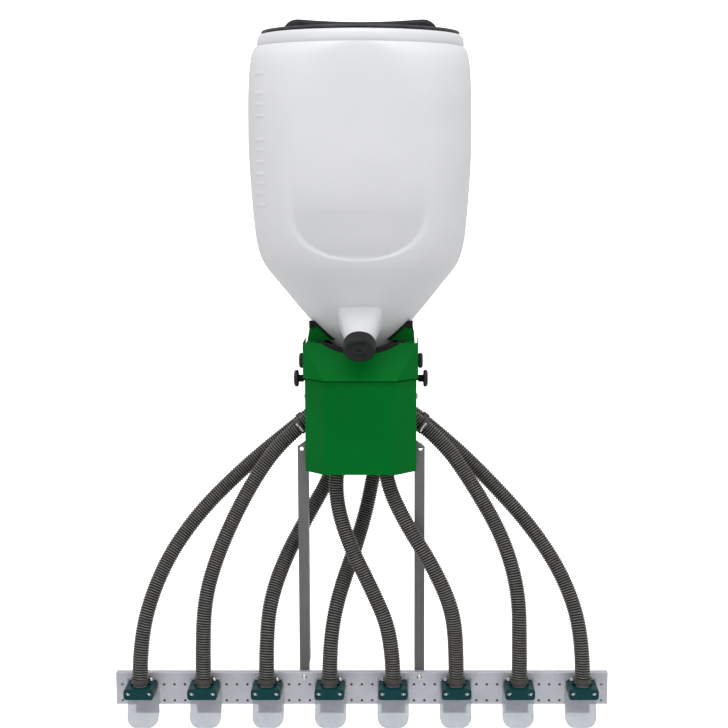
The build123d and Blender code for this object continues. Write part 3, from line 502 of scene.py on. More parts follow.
LOW_SPIGOTS = [(-0.056, -0.066), (0.040, -0.063), (-0.053, -0.193), (0.053, -0.193)]
HOSE_ROUTES = [
    side_start(-1, -0.090) + [(-0.287, -0.120, -0.168), (-0.397, -0.168, -0.272), (-0.478, -0.222, -0.392),
                              (-0.525, -0.2715, -0.545)],
    side_start(-1, -0.160) + [(-0.262, -0.185, -0.190), (-0.328, -0.222, -0.320), (-0.368, -0.255, -0.440),
                              (-0.375, -0.2715, -0.555)],
    low_start(-0.056, -0.066) + [(-0.080, -0.074, -0.200), (-0.131, -0.101, -0.286), (-0.184, -0.156, -0.376),
                                 (-0.219, -0.230, -0.468), (-0.225, -0.2715, -0.570)],
    low_start(0.040, -0.063) + [(0.025, -0.071, -0.203), (0.007, -0.097, -0.288), (-0.022, -0.149, -0.374),
                                (-0.060, -0.231, -0.470), (-0.075, -0.2715, -0.573)],
    low_start(-0.053, -0.193) + [(-0.063, -0.214, -0.215), (-0.033, -0.238, -0.320), (0.022, -0.258, -0.425),
                                 (0.075, -0.2715, -0.545)],
    low_start(0.053, -0.193) + [(0.063, -0.214, -0.196), (0.108, -0.250, -0.280), (0.168, -0.273, -0.370),
                                (0.214, -0.280, -0.470), (0.225, -0.2715, -0.568)],
    side_start(1, -0.160) + [(0.262, -0.182, -0.190), (0.337, -0.220, -0.316), (0.372, -0.252, -0.436),
                             (0.375, -0.2715, -0.555)],
    side_start(1, -0.090) + [(0.290, -0.120, -0.180), (0.408, -0.168, -0.302), (0.488, -0.226, -0.422),
                             (0.525, -0.2715, -0.550)],
]


def smooth_line(points):
    """Points along the NURBS line that has the route's points as its control points."""
    data = bpy.data.curves.new("route", "CURVE")
    data.dimensions = "3D"
    data.resolution_u = 40
    spline = data.splines.new("NURBS")
    spline.points.add(len(points) - 1)
    for place, point in zip(spline.points, points):
        place.co = (*point, 1)
    spline.order_u = 3
    spline.use_endpoint_u = True
    holder = bpy.data.objects.new("route", data)
    bpy.context.scene.collection.objects.link(holder)
    bpy.context.view_layer.update()
    mesh = bpy.data.meshes.new_from_object(holder)
    line = [v.co.copy() for v in mesh.vertices]
    bpy.data.objects.remove(holder)
    bpy.data.meshes.remove(mesh)
    return line


def evenly(line, step):
    """The line's points again, a fixed distance apart, its two ends kept."""
    lengths = [0.0]
    for a, b in zip(line, line[1:]):
        lengths.append(lengths[-1] + (b - a).length)
    count = max(2, round(lengths[-1] / step))
    out, k = [], 0
    for i in range(count + 1):
        want = lengths[-1] * i / count
        while k < len(lengths) - 2 and lengths[k + 1] < want:
            k += 1
        share = (want - lengths[k]) / max(lengths[k + 1] - lengths[k], 1e-9)
        out.append(line[k].lerp(line[k + 1], min(1, max(0, share))))
    return out, lengths[-1]


def tube_frames(centres):
    """A direction and two sides at each centre, carried along without twist."""
    frames, side = [], None
    for i in range(len(centres)):
        along = (centres[min(i + 1, len(centres) - 1)] - centres[max(i - 1, 0)]).normalized()
        if side is None:
            side, _ = axes_about(along, (0, -1, 0.2))
        side = (side - along * along.dot(side)).normalized()
        frames.append((along, side, along.cross(side)))
    return frames


def rib_height(phase):
    """0 in a groove and 1 on a rib's narrow crest."""
    wave = 0.5 + 0.5 * cos(2 * pi * phase)
    return wave ** 1.25


def hose(number, route):
    """A spiral-ribbed hose with a smooth bore, its ribs wound once round for each pitch."""
    points = route + [(OUTLET_X[number - 1], OUTLET_Y, HOSE_END_Z)]
    centres, length = evenly(smooth_line(points), RIB_PITCH / RINGS_TO_RIB)
    frames = tube_frames(centres)
    segments = 28
    crest, groove = HOSE_DIAMETER / 2, HOSE_DIAMETER / 2 - RIB_DEPTH
    verts, ribs = [], []
    for i, (centre, (_, side, other)) in enumerate(zip(centres, frames)):
        for c in range(segments):
            angle = 2 * pi * c / segments
            rib = rib_height(i / RINGS_TO_RIB + c / segments)
            reach = groove + (crest - groove) * rib
            ribs.append(rib)
            verts.append(centre + (side * cos(angle) + other * sin(angle)) * reach)
    rows = len(centres)
    faces = grid_faces(rows, segments)
    inner = list(range(0, rows - 1, RINGS_TO_RIB * 2)) + [rows - 1]
    first = len(verts)
    for i in inner:
        _, side, other = frames[i]
        for c in range(segments):
            angle = 2 * pi * c / segments
            verts.append(centres[i] + (side * cos(angle) + other * sin(angle)) * HOSE_BORE / 2)
    faces += [tuple(reversed(f)) for f in grid_faces(len(inner), segments, first=first)]
    end_in = first + (len(inner) - 1) * segments
    for c in range(segments):
        d = (c + 1) % segments
        faces.append((d, c, first + c, first + d))
        faces.append(((rows - 1) * segments + c, (rows - 1) * segments + d, end_in + d, end_in + c))
    piece = mesh_piece(f"ribbed_hose_{number}", verts, faces, "frame", "hose_black", HOSE)
    # the rib height, stored per point, drives the hose material's painted crest highlight and painted groove
    # shade
    shade = piece.data.attributes.new("rib", "FLOAT", "POINT")
    shade.data.foreach_set("value", ribs + [0.0] * (len(verts) - len(ribs)))
    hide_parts(f"hose_{number}")


# ---------------------------------------------------------------- hopper
TANK_WALL = 0.0045
TANK_PROFILE = [               # height, half width, half depth, corner share of the half depth
    (0.096, 0.0600, 0.0573, 0.999), (0.121, 0.0600, 0.0573, 0.999), (0.149, 0.0830, 0.0793, 0.999),
    (0.193, 0.1195, 0.1141, 0.96), (0.240, 0.1570, 0.1499, 0.90), (0.290, 0.1950, 0.1862, 0.84),
    (0.314, 0.2135, 0.2039, 0.80), (0.336, 0.2270, 0.2168, 0.77), (0.360, 0.2355, 0.2249, 0.74),
    (0.390, 0.2415, 0.2306, 0.72), (0.430, 0.2455, 0.2345, 0.70), (0.480, 0.2495, 0.2383, 0.70),
    (0.525, 0.2525, 0.2411, 0.70), (0.600, 0.2558, 0.2443, 0.70), (0.660, 0.2558, 0.2446, 0.70),
    (0.720, 0.2548, 0.2445, 0.70), (0.775, 0.2524, 0.2437, 0.74), (0.800, 0.2500, 0.2431, 0.79),
    (0.815, 0.2474, 0.2423, 0.85), (0.824, 0.2446, 0.2413, 0.91), (0.829, 0.2418, 0.2403, 0.96),
]
COLLAR_Z, COLLAR_TOP_Z, COLLAR_R, COLLAR_RIM_R, MOUTH_R = 0.829, 0.857, 0.240, 0.233, 0.222
PANEL_TOP_Z, PANEL_SIDE_Z, PANEL_LOW_Z, PANEL_HALF = 0.662, 0.455, 0.352, 0.152
PANEL_SINK = (0.0003, 0.0046)  # how deep the panel lies at its top and at its foot
PANEL_EDGE = 0.022
MARK_X, MARK_HALF, MARK_RISE = -0.221, 0.010, 0.0022
LEVELS = [0.472, 0.498, 0.520, 0.542, 0.568, 0.595, 0.617, 0.669, 0.695, 0.720, 0.763]


def between(stations, height):
    """Catmull-Rom values at a height between stations of (height, value, ...)."""
    k = 0
    while k < len(stations) - 2 and stations[k + 1][0] < height:
        k += 1
    low, high = stations[k], stations[k + 1]
    before, after = stations[max(k - 1, 0)], stations[min(k + 2, len(stations) - 1)]
    span = high[0] - low[0]
    t = min(1, max(0, (height - low[0]) / span))
    values = []
    for j in range(1, len(low)):
        slope_low = (high[j] - before[j]) / (high[0] - before[0]) * span
        slope_high = (after[j] - low[j]) / (after[0] - low[0]) * span
        values.append((2 * t ** 3 - 3 * t ** 2 + 1) * low[j] + (t ** 3 - 2 * t ** 2 + t) * slope_low
                      + (3 * t ** 2 - 2 * t ** 3) * high[j] + (t ** 3 - t ** 2) * slope_high)
    return values


def tank_loop(height, half_x, half_y, share, shrink, steps=(20, 60)):
    """A rounded rectangle round the axis, with its outward directions."""
    half_x, half_y = half_x - shrink, half_y - shrink
    corner = min(half_y * 0.999, half_y * share)
    flat, arc = steps
    loop = []
    for cx, cy, start in ((1, 1, 0), (-1, 1, 90), (-1, -1, 180), (1, -1, 270)):
        centre = Vector((cx * (half_x - corner), cy * (half_y - corner), 0))
        for k in range(arc):
            angle = radians(start + 90 * k / arc)
            out = Vector((cos(angle), sin(angle), 0))
            loop.append((centre + out * corner, out))
        turn = radians(start + 90)
        out = Vector((cos(turn), sin(turn), 0))
        begin = centre + out * corner
        following = {0: (-1, 1), 90: (-1, -1), 180: (1, -1), 270: (1, 1)}[start]
        end = Vector((following[0] * (half_x - corner), following[1] * (half_y - corner), 0)) + out * corner
        for k in range(flat):
            loop.append((begin.lerp(end, k / flat), out))
    return [(Vector((AXIS_X, AXIS_Y, height)) + p, out) for p, out in loop]


def step_up(value, width):
    """0 well below zero, 1 well above, smooth between."""
    t = min(1, max(0, value / width + 0.5))
    return t * t * (3 - 2 * t)


def panel_depth(x, z):
    """How far the shield-shaped panel is sunk into the front at a point."""
    if z > PANEL_SIDE_Z:
        inside = min(PANEL_TOP_Z - z, PANEL_HALF - abs(x))
    else:
        drop = (PANEL_SIDE_Z - z) / (PANEL_SIDE_Z - PANEL_LOW_Z)
        edge = PANEL_HALF * sqrt(max(0, 1 - min(1, drop) ** 2.2))
        inside = min(edge - abs(x), (z - PANEL_LOW_Z) * 0.8)
    share = min(1, max(0, (PANEL_TOP_Z - z) / (PANEL_TOP_Z - PANEL_SIDE_Z)))
    deep = PANEL_SINK[0] + (PANEL_SINK[1] - PANEL_SINK[0]) * share ** 3
    return deep * step_up(inside, PANEL_EDGE)


def level_mark(x, z):
    """Short raised ridges down the front's left edge, as moulded level marks."""
    rise = sum(exp(-((z - level) / 0.0022) ** 2) for level in LEVELS)
    return rise * step_up(MARK_HALF - abs(x - MARK_X), 0.004)


def hopper():
    """The outer skin down from the rim, and the inner one back up, as one closed shell."""
    heights, z = [], TANK_PROFILE[0][0]
    step = 0.0025
    while z < TANK_PROFILE[-1][0]:
        heights.append(z)
        z += step
    heights.append(TANK_PROFILE[-1][0])
    rows = []
    for z in heights:
        row = []
        for point, out in tank_loop(z, *between(TANK_PROFILE, z), 0):
            rise = 0.0
            if out.y < -0.2:
                rise = MARK_RISE * level_mark(point.x, z) - panel_depth(point.x - AXIS_X, z)
            row.append(point + out * rise)
        rows.append(row)
    collar = [(COLLAR_Z + 0.0006, COLLAR_R - 0.0015), (COLLAR_Z + 0.0024, COLLAR_R),
              (COLLAR_Z + 0.012, COLLAR_R), (COLLAR_TOP_Z - 0.0085, COLLAR_R - 0.0008),
              (COLLAR_TOP_Z - 0.0035, COLLAR_R - 0.0035),
              (COLLAR_TOP_Z - 0.0008, COLLAR_RIM_R + 0.001), (COLLAR_TOP_Z, COLLAR_RIM_R - 0.002),
              (COLLAR_TOP_Z, MOUTH_R + 0.001), (COLLAR_TOP_Z - 0.001, MOUTH_R), (COLLAR_Z - 0.010, MOUTH_R)]
    for z, radius in collar:
        rows.append([Vector((AXIS_X + out.x * radius, AXIS_Y + out.y * radius, z))
                     for _, out in round_loop(len(rows[0]))])
    for z in reversed(heights[:-3:6]):
        rows.append([point for point, _ in tank_loop(z, *between(TANK_PROFILE, z), TANK_WALL)])
    points = [p for row in rows for p in row]
    faces = grid_faces(len(rows), len(rows[0]), closed_rows=True)
    shell = mesh_piece("hopper_shell", points, faces, "frame", "hopper_white", WHITE)
    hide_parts("hopper_tank")
    neck_flange()
    spout()


def round_loop(count):
    """Directions that go with the points of tank_loop, spread round a circle."""
    loop = tank_loop(0, 0.24, 0.24, 0.999, 0)
    loop = [((p - Vector((AXIS_X, AXIS_Y, 0))).normalized(), None) for p, _ in loop]
    return [(None, direction) for direction, _ in loop]


def neck_flange():
    """Bolted ring at the foot of the neck."""
    profile = [(0.0605, 0.0), (0.0712, 0.0), (0.072, 0.0008), (0.072, 0.0042), (0.0712, 0.005),
               (0.066, 0.005), (0.0615, 0.0075), (0.0602, 0.012)]
    points, faces = turned(profile, (AXIS_X, AXIS_Y, TANK_LOW.z), UP, 72, closed=True)
    mesh_piece("hopper_neck_flange", points, faces, "frame", "hopper_white", WHITE)


def spout():
    """Drain spout: a wide flat root on the cone that runs into a round, threaded neck."""
    side, up = axes_about(CAP_AXIS, (1, 0, 0))
    root = CAP_FACE - CAP_AXIS * 0.100
    segments, rows = 64, []
    for t, half_w, half_h, squareness in ((-0.030, 0.062, 0.050, 1.0), (-0.006, 0.052, 0.042, 1.0),
                                          (0.018, 0.045, 0.038, 0.8), (0.042, 0.039, 0.035, 0.5),
                                          (0.060, 0.034, 0.033, 0.2), (0.068, 0.032, 0.032, 0.0),
                                          (0.0925, 0.032, 0.032, 0.0), (0.094, 0.0312, 0.0312, 0.0),
                                          (0.094, 0.0275, 0.0275, 0.0), (0.0925, 0.027, 0.027, 0.0),
                                          (0.030, 0.027, 0.027, 0.0), (-0.030, 0.040, 0.035, 0.0)):
        power = 2 + 2.6 * squareness
        row = []
        for c in range(segments):
            angle = 2 * pi * c / segments
            reach = (abs(cos(angle) / half_w) ** power + abs(sin(angle) / half_h) ** power) ** (-1 / power)
            row.append(root + CAP_AXIS * t + side * cos(angle) * reach + up * sin(angle) * reach)
        rows.append(row)
    points = [p for row in rows for p in row]
    faces = grid_faces(len(rows), segments, closed_rows=True)
    mesh_piece("drain_spout", points, faces, "frame", "hopper_white", WHITE)


# ---------------------------------------------------------------- lid and drain cap
def lid_base():
    """Plug, flange and shallow stepped dome of the lid."""
    profile = [(0.2135, 0.0), (0.2145, -0.0004 + 0.0), (0.2188, 0.0004), (0.219, 0.002), (0.219, 0.0158),
               (0.2285, 0.016), (0.2298, 0.0168), (0.230, 0.0185), (0.230, 0.0205), (0.2292, 0.0218),
               (0.227, 0.0224), (0.2215, 0.0226), (0.2205, 0.0219), (0.2192, 0.0219), (0.218, 0.0228),
               (0.196, 0.0238), (0.194, 0.0228), (0.191, 0.0228), (0.189, 0.0240), (0.120, 0.0246),
               (0.012, 0.0250), (0.010, 0.0185), (0.205, 0.0165), (0.2130, 0.0140)]
    points, faces = turned(profile, (AXIS_X, AXIS_Y, LID_BASE), UP, 144, closed=True)
    piece = mesh_piece("lid_disc", points, faces, "lid", "lid_black", LID_BLACK)
    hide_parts("hopper_lid")


def grip_height(x):
    """Top of the saddle grip above its foot, dipping in the middle."""
    reach = abs(x)
    dip = 0.0072 * (1 - (min(reach, 0.150) / 0.150) ** 2)
    crown = 0.0300 - dip
    if reach > 0.134:
        t = (reach - 0.134) / (0.178 - 0.134)
        crown *= sqrt(max(0, 1 - min(1, t) ** 2.6))
    return crown


def lid_grip():
    """Hollow saddle-shaped hand grip across the lid, its upper edges rounded."""
    foot_z = LID_TOP - 0.0300
    half_y = 0.045
    stations = [-0.1779, -0.1772, -0.175, -0.171, -0.166, -0.160, -0.153, -0.146, -0.139, -0.130, -0.115,
                -0.095, -0.070, -0.040, 0.0]
    stations = stations + [-x for x in reversed(stations[:-1])]
    rows, round_steps = [], 6
    for x in stations:
        height = max(0.0006, grip_height(x))
        half = half_y - 0.010 * (abs(x) / 0.178) ** 4
        corner = min(0.009, height * 0.8)
        row = [(-half, 0.0)]
        for k in range(round_steps + 1):
            angle = radians(180 - 90 * k / round_steps)
            row.append((-half + corner + corner * cos(angle), height - corner + corner * sin(angle)))
        row += [(-half * 0.4, height - 0.0006), (half * 0.4, height - 0.0006)]
        for k in range(round_steps + 1):
            angle = radians(90 - 90 * k / round_steps)
            row.append((half - corner + corner * cos(angle), height - corner + corner * sin(angle)))
        row.append((half, 0.0))
        rows.append([Vector((AXIS_X + x, AXIS_Y + y, foot_z + z)) for y, z in row])
    points = [p for row in rows for p in row]
    count = len(rows[0])
    faces = [tuple(reversed(f)) for f in grid_faces(len(rows), count)]
    faces += [cap_face(0, count), cap_face(len(rows) - 1, count, flip=True)]
    mesh_piece("lid_grip", points, faces, "lid", "lid_black", GRIP_BLACK)


def drain_cap():
    """Screw cap: ribbed skirt, eased rim and a dished face with a raised ring."""
    length = 0.030
    profile = [(0.0325, 0.0), (0.0352, 0.0), (0.0361, 0.0008), (0.0366, 0.0022), (0.0368, 0.004),
               (0.0368, 0.0225), (0.0364, 0.0255), (0.0354, 0.0280), (0.0336, 0.0297), (0.0312, 0.030),
               (0.0300, 0.0296),
               (0.0290, 0.0291), (0.012, 0.0289), (0.0112, 0.0292), (0.0100, 0.0293), (0.0008, 0.0293),
               (0.0008, 0.026), (0.0318, 0.026), (0.0325, 0.0252)]
    ribs = 40

    def ribbed(r, angle, k):
        if 2 <= k <= 6:
            return r - 0.0011 * (0.5 - 0.5 * cos(ribs * angle)) ** 0.7
        return r

    points, faces = turned(profile, CAP_FACE - CAP_AXIS * length, CAP_AXIS, 320, ribbed,
                           closed=True)
    piece = mesh_piece("screw_cap", points, faces, "cap", "cap_black", CAP_BLACK)
    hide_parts("drain_cap")


# ---------------------------------------------------------------- trims
BEZEL_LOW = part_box("front_bezel")[0]
FACET_LEAN = Vector((0, 0.047, 0.083)).normalized()
FACET_OUT = Vector((0, -0.083, 0.047)).normalized()
TRIM_R = 0.187
TRIM_CENTRE_Z = 0.129 + TRIM_R


def facet_y(z):
    """Depth of the bezel's middle facet at a height."""
    return BEZEL_LOW.y + (z - BEZEL_LOW.z) * FACET_LEAN.y / FACET_LEAN.z


def bezel_edging():
    """Fat rubber channel that grips the bezel's arc and swells towards the cone."""
    loop = []
    for k in range(28):
        angle = 2 * pi * k / 28
        wave = (abs(cos(angle)) ** 2.6 + abs(sin(angle)) ** 2.6) ** (-1 / 2.6)
        loop.append((-0.0035 + 0.0075 * wave * cos(angle), -0.003 + 0.006 * wave * sin(angle)))
    limit = radians(32.5)
    rows, count = [], 60
    for i in range(count + 1):
        turn = -limit + 2 * limit * i / count
        out = Vector((sin(turn), 0, -cos(turn)))
        place = Vector((AXIS_X, 0, TRIM_CENTRE_Z)) + out * TRIM_R
        place.y = facet_y(place.z)
        ease = min(1, 3.2 * min(i, count - i) / count + 0.42)
        place -= FACET_OUT * 0.003
        rows.append([place + (out * a + FACET_OUT * (b + 0.003)) * ease for a, b in loop])
    points = [p for row in rows for p in row]
    faces = grid_faces(len(rows), len(loop)) + [cap_face(0, len(loop), flip=True),
                                                cap_face(len(rows) - 1, len(loop))]
    piece = mesh_piece("bezel_edging", points, faces, "frame", "trim_rubber", TRIM)
    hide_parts("bezel_trim")


# ---------------------------------------------------------------- knobs, bolts and clips
def knob(name, node, radius, collar):
    """Six-lobed clamping knob; its axis and face come from the CAD node's box."""
    low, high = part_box(node)
    side = 1 if high.x > 0 else -1
    face = high.x if side > 0 else low.x
    middle = Vector((face, (low.y + high.y) / 2, (low.z + high.z) / 2))
    inward = Vector((-side, 0, 0))
    profile = [(0.0006, 0.0012), (radius * 0.30, 0.0012), (radius * 0.34, 0.0003), (radius * 0.62, 0.0),
               (radius * 0.84, 0.0007), (radius * 0.95, 0.0022), (radius, 0.0046), (radius, 0.0072),
               (radius * 0.96, 0.0094), (radius * 0.86, 0.0107), (radius * 0.5, 0.0112)]
    profile += [(r, t) for r, t in collar] + [(0.0006, collar[-1][1])]

    def lobed(r, angle, k):
        if 4 <= k <= 9:
            return r * (1 - 0.075 * (0.5 + 0.5 * cos(6 * angle)) ** 2)
        return r

    points, faces = turned(profile, middle, inward, 96, lobed)
    piece = mesh_piece(name, points, faces, node.replace("_knob", ""), "knob_black", KNOB_BLACK)
    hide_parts(node)
    stud_start = 0.0112 if len(collar) < 3 else collar[-1][1]
    end = abs(face) - 0.115
    stud = [(0.0006, stud_start - 0.002), (0.0039, stud_start - 0.002), (0.0039, end - 0.0008),
            (0.0032, end), (0.0006, end)]
    points, faces = turned(stud, middle, inward, 32)
    mesh_piece(name + "_stud", points, faces, node.replace("_knob", ""), "bright_steel", STEEL)


def knobs():
    upper = [(0.0085, 0.0112), (0.0082, 0.0113)]
    lower = [(0.0085, 0.0114), (0.0085, 0.0222), (0.0080, 0.0227), (0.0052, 0.0228), (0.0052, 0.0265)]
    for side in ("left", "right"):
        knob(f"clamp_knob_upper_{side}", f"upper_knob_{side}", 0.018, upper)
        knob(f"clamp_knob_lower_{side}", f"lower_knob_{side}", 0.020, lower)


def hexagon(r_flat):
    """Radius of a hexagon of that half width across flats, for use with turned."""
    def reach(r, angle, k):
        local = (angle + pi / 6) % (pi / 3) - pi / 6
        return min(r, r_flat / cos(local)) if r > 0.001 else r
    return reach


def dome_head(place, out, radius, height):
    """Button head with a hexagon socket, standing on a thin washer."""
    washer = [(radius * 0.4, 0.0), (radius * 1.18, 0.0), (radius * 1.18, 0.0008), (radius * 0.4, 0.0008)]
    dome = [(radius * 0.3, 0.0008), (radius, 0.0008), (radius, 0.0014), (radius * 0.95, height * 0.45),
            (radius * 0.80, height * 0.78), (radius * 0.60, height * 0.95), (radius * 0.52, height),
            (radius * 0.46, height * 0.97), (radius * 0.44, height * 0.55), (0.0004, height * 0.50)]

    def socket(r, angle, k):
        if k >= 7:
            local = (angle + pi / 6) % (pi / 3) - pi / 6
            return r * 0.92 / cos(local)
        return r

    return [turned(washer, place, out, 36, closed=True), turned(dome, place, out, 36, socket)]


def hex_head(place, out, half_flats, height):
    """Plain hexagon head or nut with chamfered corners."""
    corner = half_flats / cos(pi / 6)
    profile = [(0.0004, 0.0), (corner, 0.0), (corner, height * 0.82), (half_flats * 0.96, height),
               (0.0004, height)]
    return turned(profile, place, out, 72, hexagon(half_flats))


def shank(start, end, radius):
    along = end - start
    profile = [(0.0003, 0.0), (radius * 0.85, 0.0), (radius, 0.0008), (radius, along.length - 0.0008),
               (radius * 0.85, along.length), (0.0003, along.length)]
    return turned(profile, start, along, 24)


def clamp_bolts():
    """Socket heads sunk in the clamps' pockets, with nuts behind the brackets."""
    low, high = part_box("clamp_bolts")
    z = (low.z + high.z) / 2
    parts = []
    for x in OUTLET_X:
        for offset in (-CLAMP_BOLT_OFFSET, CLAMP_BOLT_OFFSET):
            head = Vector((x + offset, low.y + 0.004, z))
            parts += dome_head(head, (0, -1, 0), 0.0042, 0.0037)
            parts.append(shank(head, Vector((x + offset, high.y, z)), 0.0029))
            parts.append(hex_head(Vector((x + offset, high.y - 0.008, z)), (0, 1, 0), 0.0048, 0.0048))
    piece = mesh_piece("clamp_fasteners", *merged(parts), "frame", "bright_steel", STEEL, smooth=False)
    smooth_by_angle(piece)
    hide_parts("clamp_bolts")


def smooth_by_angle(piece, angle=32):
    """Smooth shading with creases kept where faces meet at more than an angle."""
    mesh = piece.data
    mesh.polygons.foreach_set("use_smooth", [True] * len(mesh.polygons))
    mesh.set_sharp_from_angle(angle=radians(angle))


def strut_bolts():
    """Dome heads on the rail's front and hexagon heads on the side plates, each with its nut."""
    parts = []
    side_low, side_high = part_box("strut_right")
    rail_nut = Vector((0, side_low.y + 0.003 - RAIL_LOW.y, 0))
    bolt_y = (side_low.y + side_high.y) / 2
    for side in (-1, 1):
        rail_bolt = Vector((side * RAIL_BOLT_X, RAIL_LOW.y, RAIL_BOLT_Z))
        parts += dome_head(rail_bolt, (0, -1, 0), 0.0065, 0.0042)
        parts.append(shank(rail_bolt, rail_bolt + rail_nut + Vector((0, 0.008, 0)), 0.0039))
        parts.append(hex_head(rail_bolt + rail_nut, (0, 1, 0), 0.0065, 0.006))
        for z in SIDE_BOLTS_Z:
            outer = Vector((side * SIDE_BOLT_X, bolt_y, z))
            parts.append(hex_head(outer, (side, 0, 0), 0.0065, 0.0048))
            parts.append(shank(outer, outer - Vector((side * 0.0138, 0, 0)), 0.0039))
            parts.append(hex_head(outer - Vector((side * 0.006, 0, 0)), (-side, 0, 0), 0.0065, 0.006))
    piece = mesh_piece("strut_fasteners", *merged(parts), "frame", "bright_steel", STEEL)
    smooth_by_angle(piece)
    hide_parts("strut_bolts")


def guide_bolts():
    low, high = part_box("guide_bolts")
    y, z = (low.y + high.y) / 2, (low.z + high.z) / 2
    parts = []
    for side in (-1, 1):
        head = Vector((side * (high.x - 0.0042), y, z))
        parts += dome_head(head, (side, 0, 0), 0.0060, 0.0040)
        parts.append(shank(head, Vector((side * 0.1172, y, z)), 0.0039))
    piece = mesh_piece("cover_guide_bolts", *merged(parts), "frame", "bright_steel", STEEL)
    smooth_by_angle(piece)
    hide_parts("guide_bolts")


def worm_clip(centre, along, facing):
    """Worm-drive clip: slotted band, overlapping tail, folded screw housing and slotted hexagon screw."""
    along = Vector(along).normalized()
    side, other = axes_about(along, facing)
    inner, outer, half = 0.0191, 0.0203, 0.006
    profile = [(inner, -half), (outer, -half + 0.0003), (outer, half - 0.0003), (inner, half)]
    slots = 44

    def notched(r, angle, k):
        if k in (1, 2) and abs(((angle + pi) % (2 * pi)) - pi) > 0.6:
            return r - 0.0003 * (0.5 + 0.5 * cos(slots * angle))
        return r

    band = [turned(profile, centre, along, 176, notched, side, closed=True)]
    parts = []
    lip = outer + 0.0002
    for edge in (-1, 1):
        bead = [(inner + 0.0002, edge * half - 0.0005), (lip + 0.0005, edge * half - 0.0004),
                (lip + 0.0005, edge * half + 0.0004), (inner + 0.0002, edge * half + 0.0005)]
        band.append(turned(bead, centre, along, 72, facing=side, closed=True))
    case = Vector(centre) + side * (outer + 0.0026)
    band.append(rounded_box(case, (0.0056, 0.0150, 0.0100), (side, other, along), 0.0018))
    screw = Vector(centre) + side * (outer + 0.0036) - other * 0.0125
    thread = [(0.0003, 0.0)]
    for k in range(18):
        thread += [(0.0032, 0.0006 + k * 0.0011), (0.0027, 0.00115 + k * 0.0011)]
    thread += [(0.0030, 0.0210), (0.0003, 0.0210)]
    parts.append(turned(thread, screw, other, 28))
    parts.append(hex_head(screw + other * 0.0195, other, 0.0036, 0.0050))
    parts.append(turned([(0.0003, 0.0), (0.0046, 0.0), (0.0046, 0.0008), (0.0003, 0.0008)],
                        screw + other * 0.0190, other, 28))
    return band, parts


def hose_clips():
    """Bands and housings of dulled steel, with brighter screws, low and high on the hoses."""
    lower, upper = [], []
    for x in OUTLET_X:
        facing = (1 if x < 0 else -1, 0.75, 0)
        lower.append(worm_clip((x, OUTLET_Y, HOSE_END_Z + 0.009), (0, 0, 1), facing))
    for side in (-1, 1):
        for y, face in zip(SIDE_SPIGOTS_Y, (1, -1)):
            along = Vector((side * cos(SIDE_TILT), 0, -sin(SIDE_TILT)))
            upper.append(worm_clip(side_root(side, y) + along * 0.043, along, (0, face, 0)))
    for x, y in LOW_SPIGOTS:
        upper.append(worm_clip((x, y, LOW_CLIP_Z), (0, 0, -1), (x, y - AXIS_Y, 0)))
    for place, clips in (("lower", lower), ("upper", upper)):
        bands = merged([part for band, _ in clips for part in band])
        screws = merged([part for _, screw in clips for part in screw])
        piece = mesh_piece(f"{place}_worm_bands", *bands, "frame", "bright_steel", DULL_STEEL)
        smooth_by_angle(piece, 38)
        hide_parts(f"{place}_hose_clips")
        piece = mesh_piece(f"{place}_worm_screws", *screws, "frame", "bright_steel", STEEL)
        smooth_by_angle(piece, 38)


def hose_tail(origin, along, straight, length):
    """A smooth pipe that is a little slimmer from where a hose is pushed over it."""
    bore, radius = 0.0138, 0.0160
    profile = [(bore, 0.0), (radius, 0.0), (radius, straight), (radius - 0.0010, straight + 0.012),
               (radius - 0.0014, length - 0.0006), (radius - 0.0018, length), (bore, length)]
    return turned(profile, origin, along, 48, closed=True)


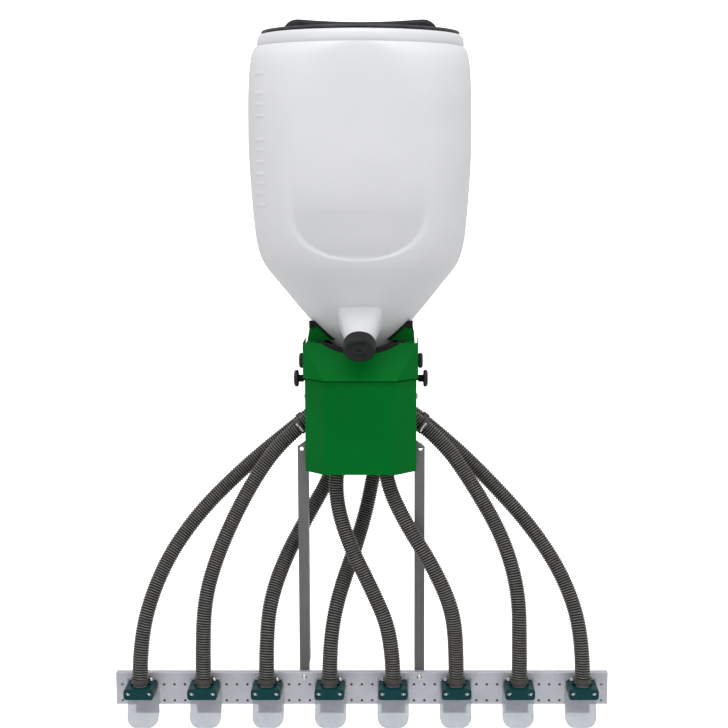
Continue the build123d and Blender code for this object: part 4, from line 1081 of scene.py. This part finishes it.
def hose_tails():
    """The outlet pipes below and the chamber's spigots above, which the hoses grip."""
    low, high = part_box("outlet_pipes")
    straight = HOSE_END_Z + 0.004 - low.z
    pipes = [hose_tail((x, OUTLET_Y, low.z), UP, straight, high.z - low.z) for x in OUTLET_X]
    spigots = []
    for side in (-1, 1):
        along = Vector((side * cos(SIDE_TILT), 0, -sin(SIDE_TILT)))
        for y in SIDE_SPIGOTS_Y:
            root = side_root(side, y) - along * 0.025
            spigots.append(hose_tail(root, along, 0.041, 0.083))
    spigots += [hose_tail((x, y, LOW_TUBE_Z), -UP, 0.014, 0.044) for x, y in LOW_SPIGOTS]
    for name, node, parts in (("outlet_tubes", "outlet_pipes", pipes),
                              ("spigot_tubes", "hose_spigots", spigots)):
        piece = mesh_piece(name, *merged(parts), "frame", "pipe_grey", PIPE_GREY)
        smooth_by_angle(piece)
        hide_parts(node)


# ---------------------------------------------------------------- CAD nodes that stay, with their finish
def carried_over():
    sheet = 0.0006
    for node in ("side_plate_left", "side_plate_right", "rear_plate", "chamber_shelf", "block_shelf",
                 "hopper_cradle", "front_bezel", "front_cover"):
        finish_node(node, GREEN, sheet, 3)
    finish_node("wing_trim", TRIM, 0.0012, 3)
    finish_node("outlet_rail", RAIL_ZINC, 0)
    for node in ("strut_left", "strut_right"):
        finish_node(node, STRUT_ZINC, 0.0013, 4)
    finish_node("deflector_brackets", BRACKET_ZINC, 0.0005)
    finish_node("deflectors", CLEAR, 0.0004)
    for number in range(1, 9):
        finish_node(f"pipe_clamp_{number}", TEAL, 0)
    finish_node("drop_tube", PIPE_GREY, 0.0004)
    for node in ("dosing_block", "distributor_chamber", "chamber_lid", "distributor_rotor"):
        finish_node(node, METER_GREY, 0.0006)
    for node in ("dosing_slide", "actuator_rod", "rotor_shaft", "stirrer"):
        finish_node(node, STEEL, 0.0003)
    for node in ("motor", "actuator_body"):
        finish_node(node, MOTOR_BLACK, 0.0010)
    finish_node("cable_gland", KNOB_BLACK, 0.0005)
    finish_node("shaft_bush", BRONZE, 0.0003)
    for node in ("lid_seal", "drain_gasket"):
        finish_node(node, TRIM, 0.0003)


# ---------------------------------------------------------------- the scene
camera()
world()
stage()
area_light("overhead", (0.0, -1.6, 3.2), (0, -0.1, 0.2), (3.2, 2.0), 62)
area_light("key_left", (-2.4, -3.4, 1.4), (0, -0.2, 0.1), (1.4, 2.2), 12)
area_light("fill_right", (2.8, -2.8, 0.9), (0, -0.2, 0.0), (1.4, 2.2), 9)
for number, route in enumerate(HOSE_ROUTES, 1):
    hose(number, route)
hopper()
lid_base()
lid_grip()
drain_cap()
bezel_edging()
knobs()
clamp_bolts()
strut_bolts()
guide_bolts()
hose_clips()
hose_tails()
carried_over()
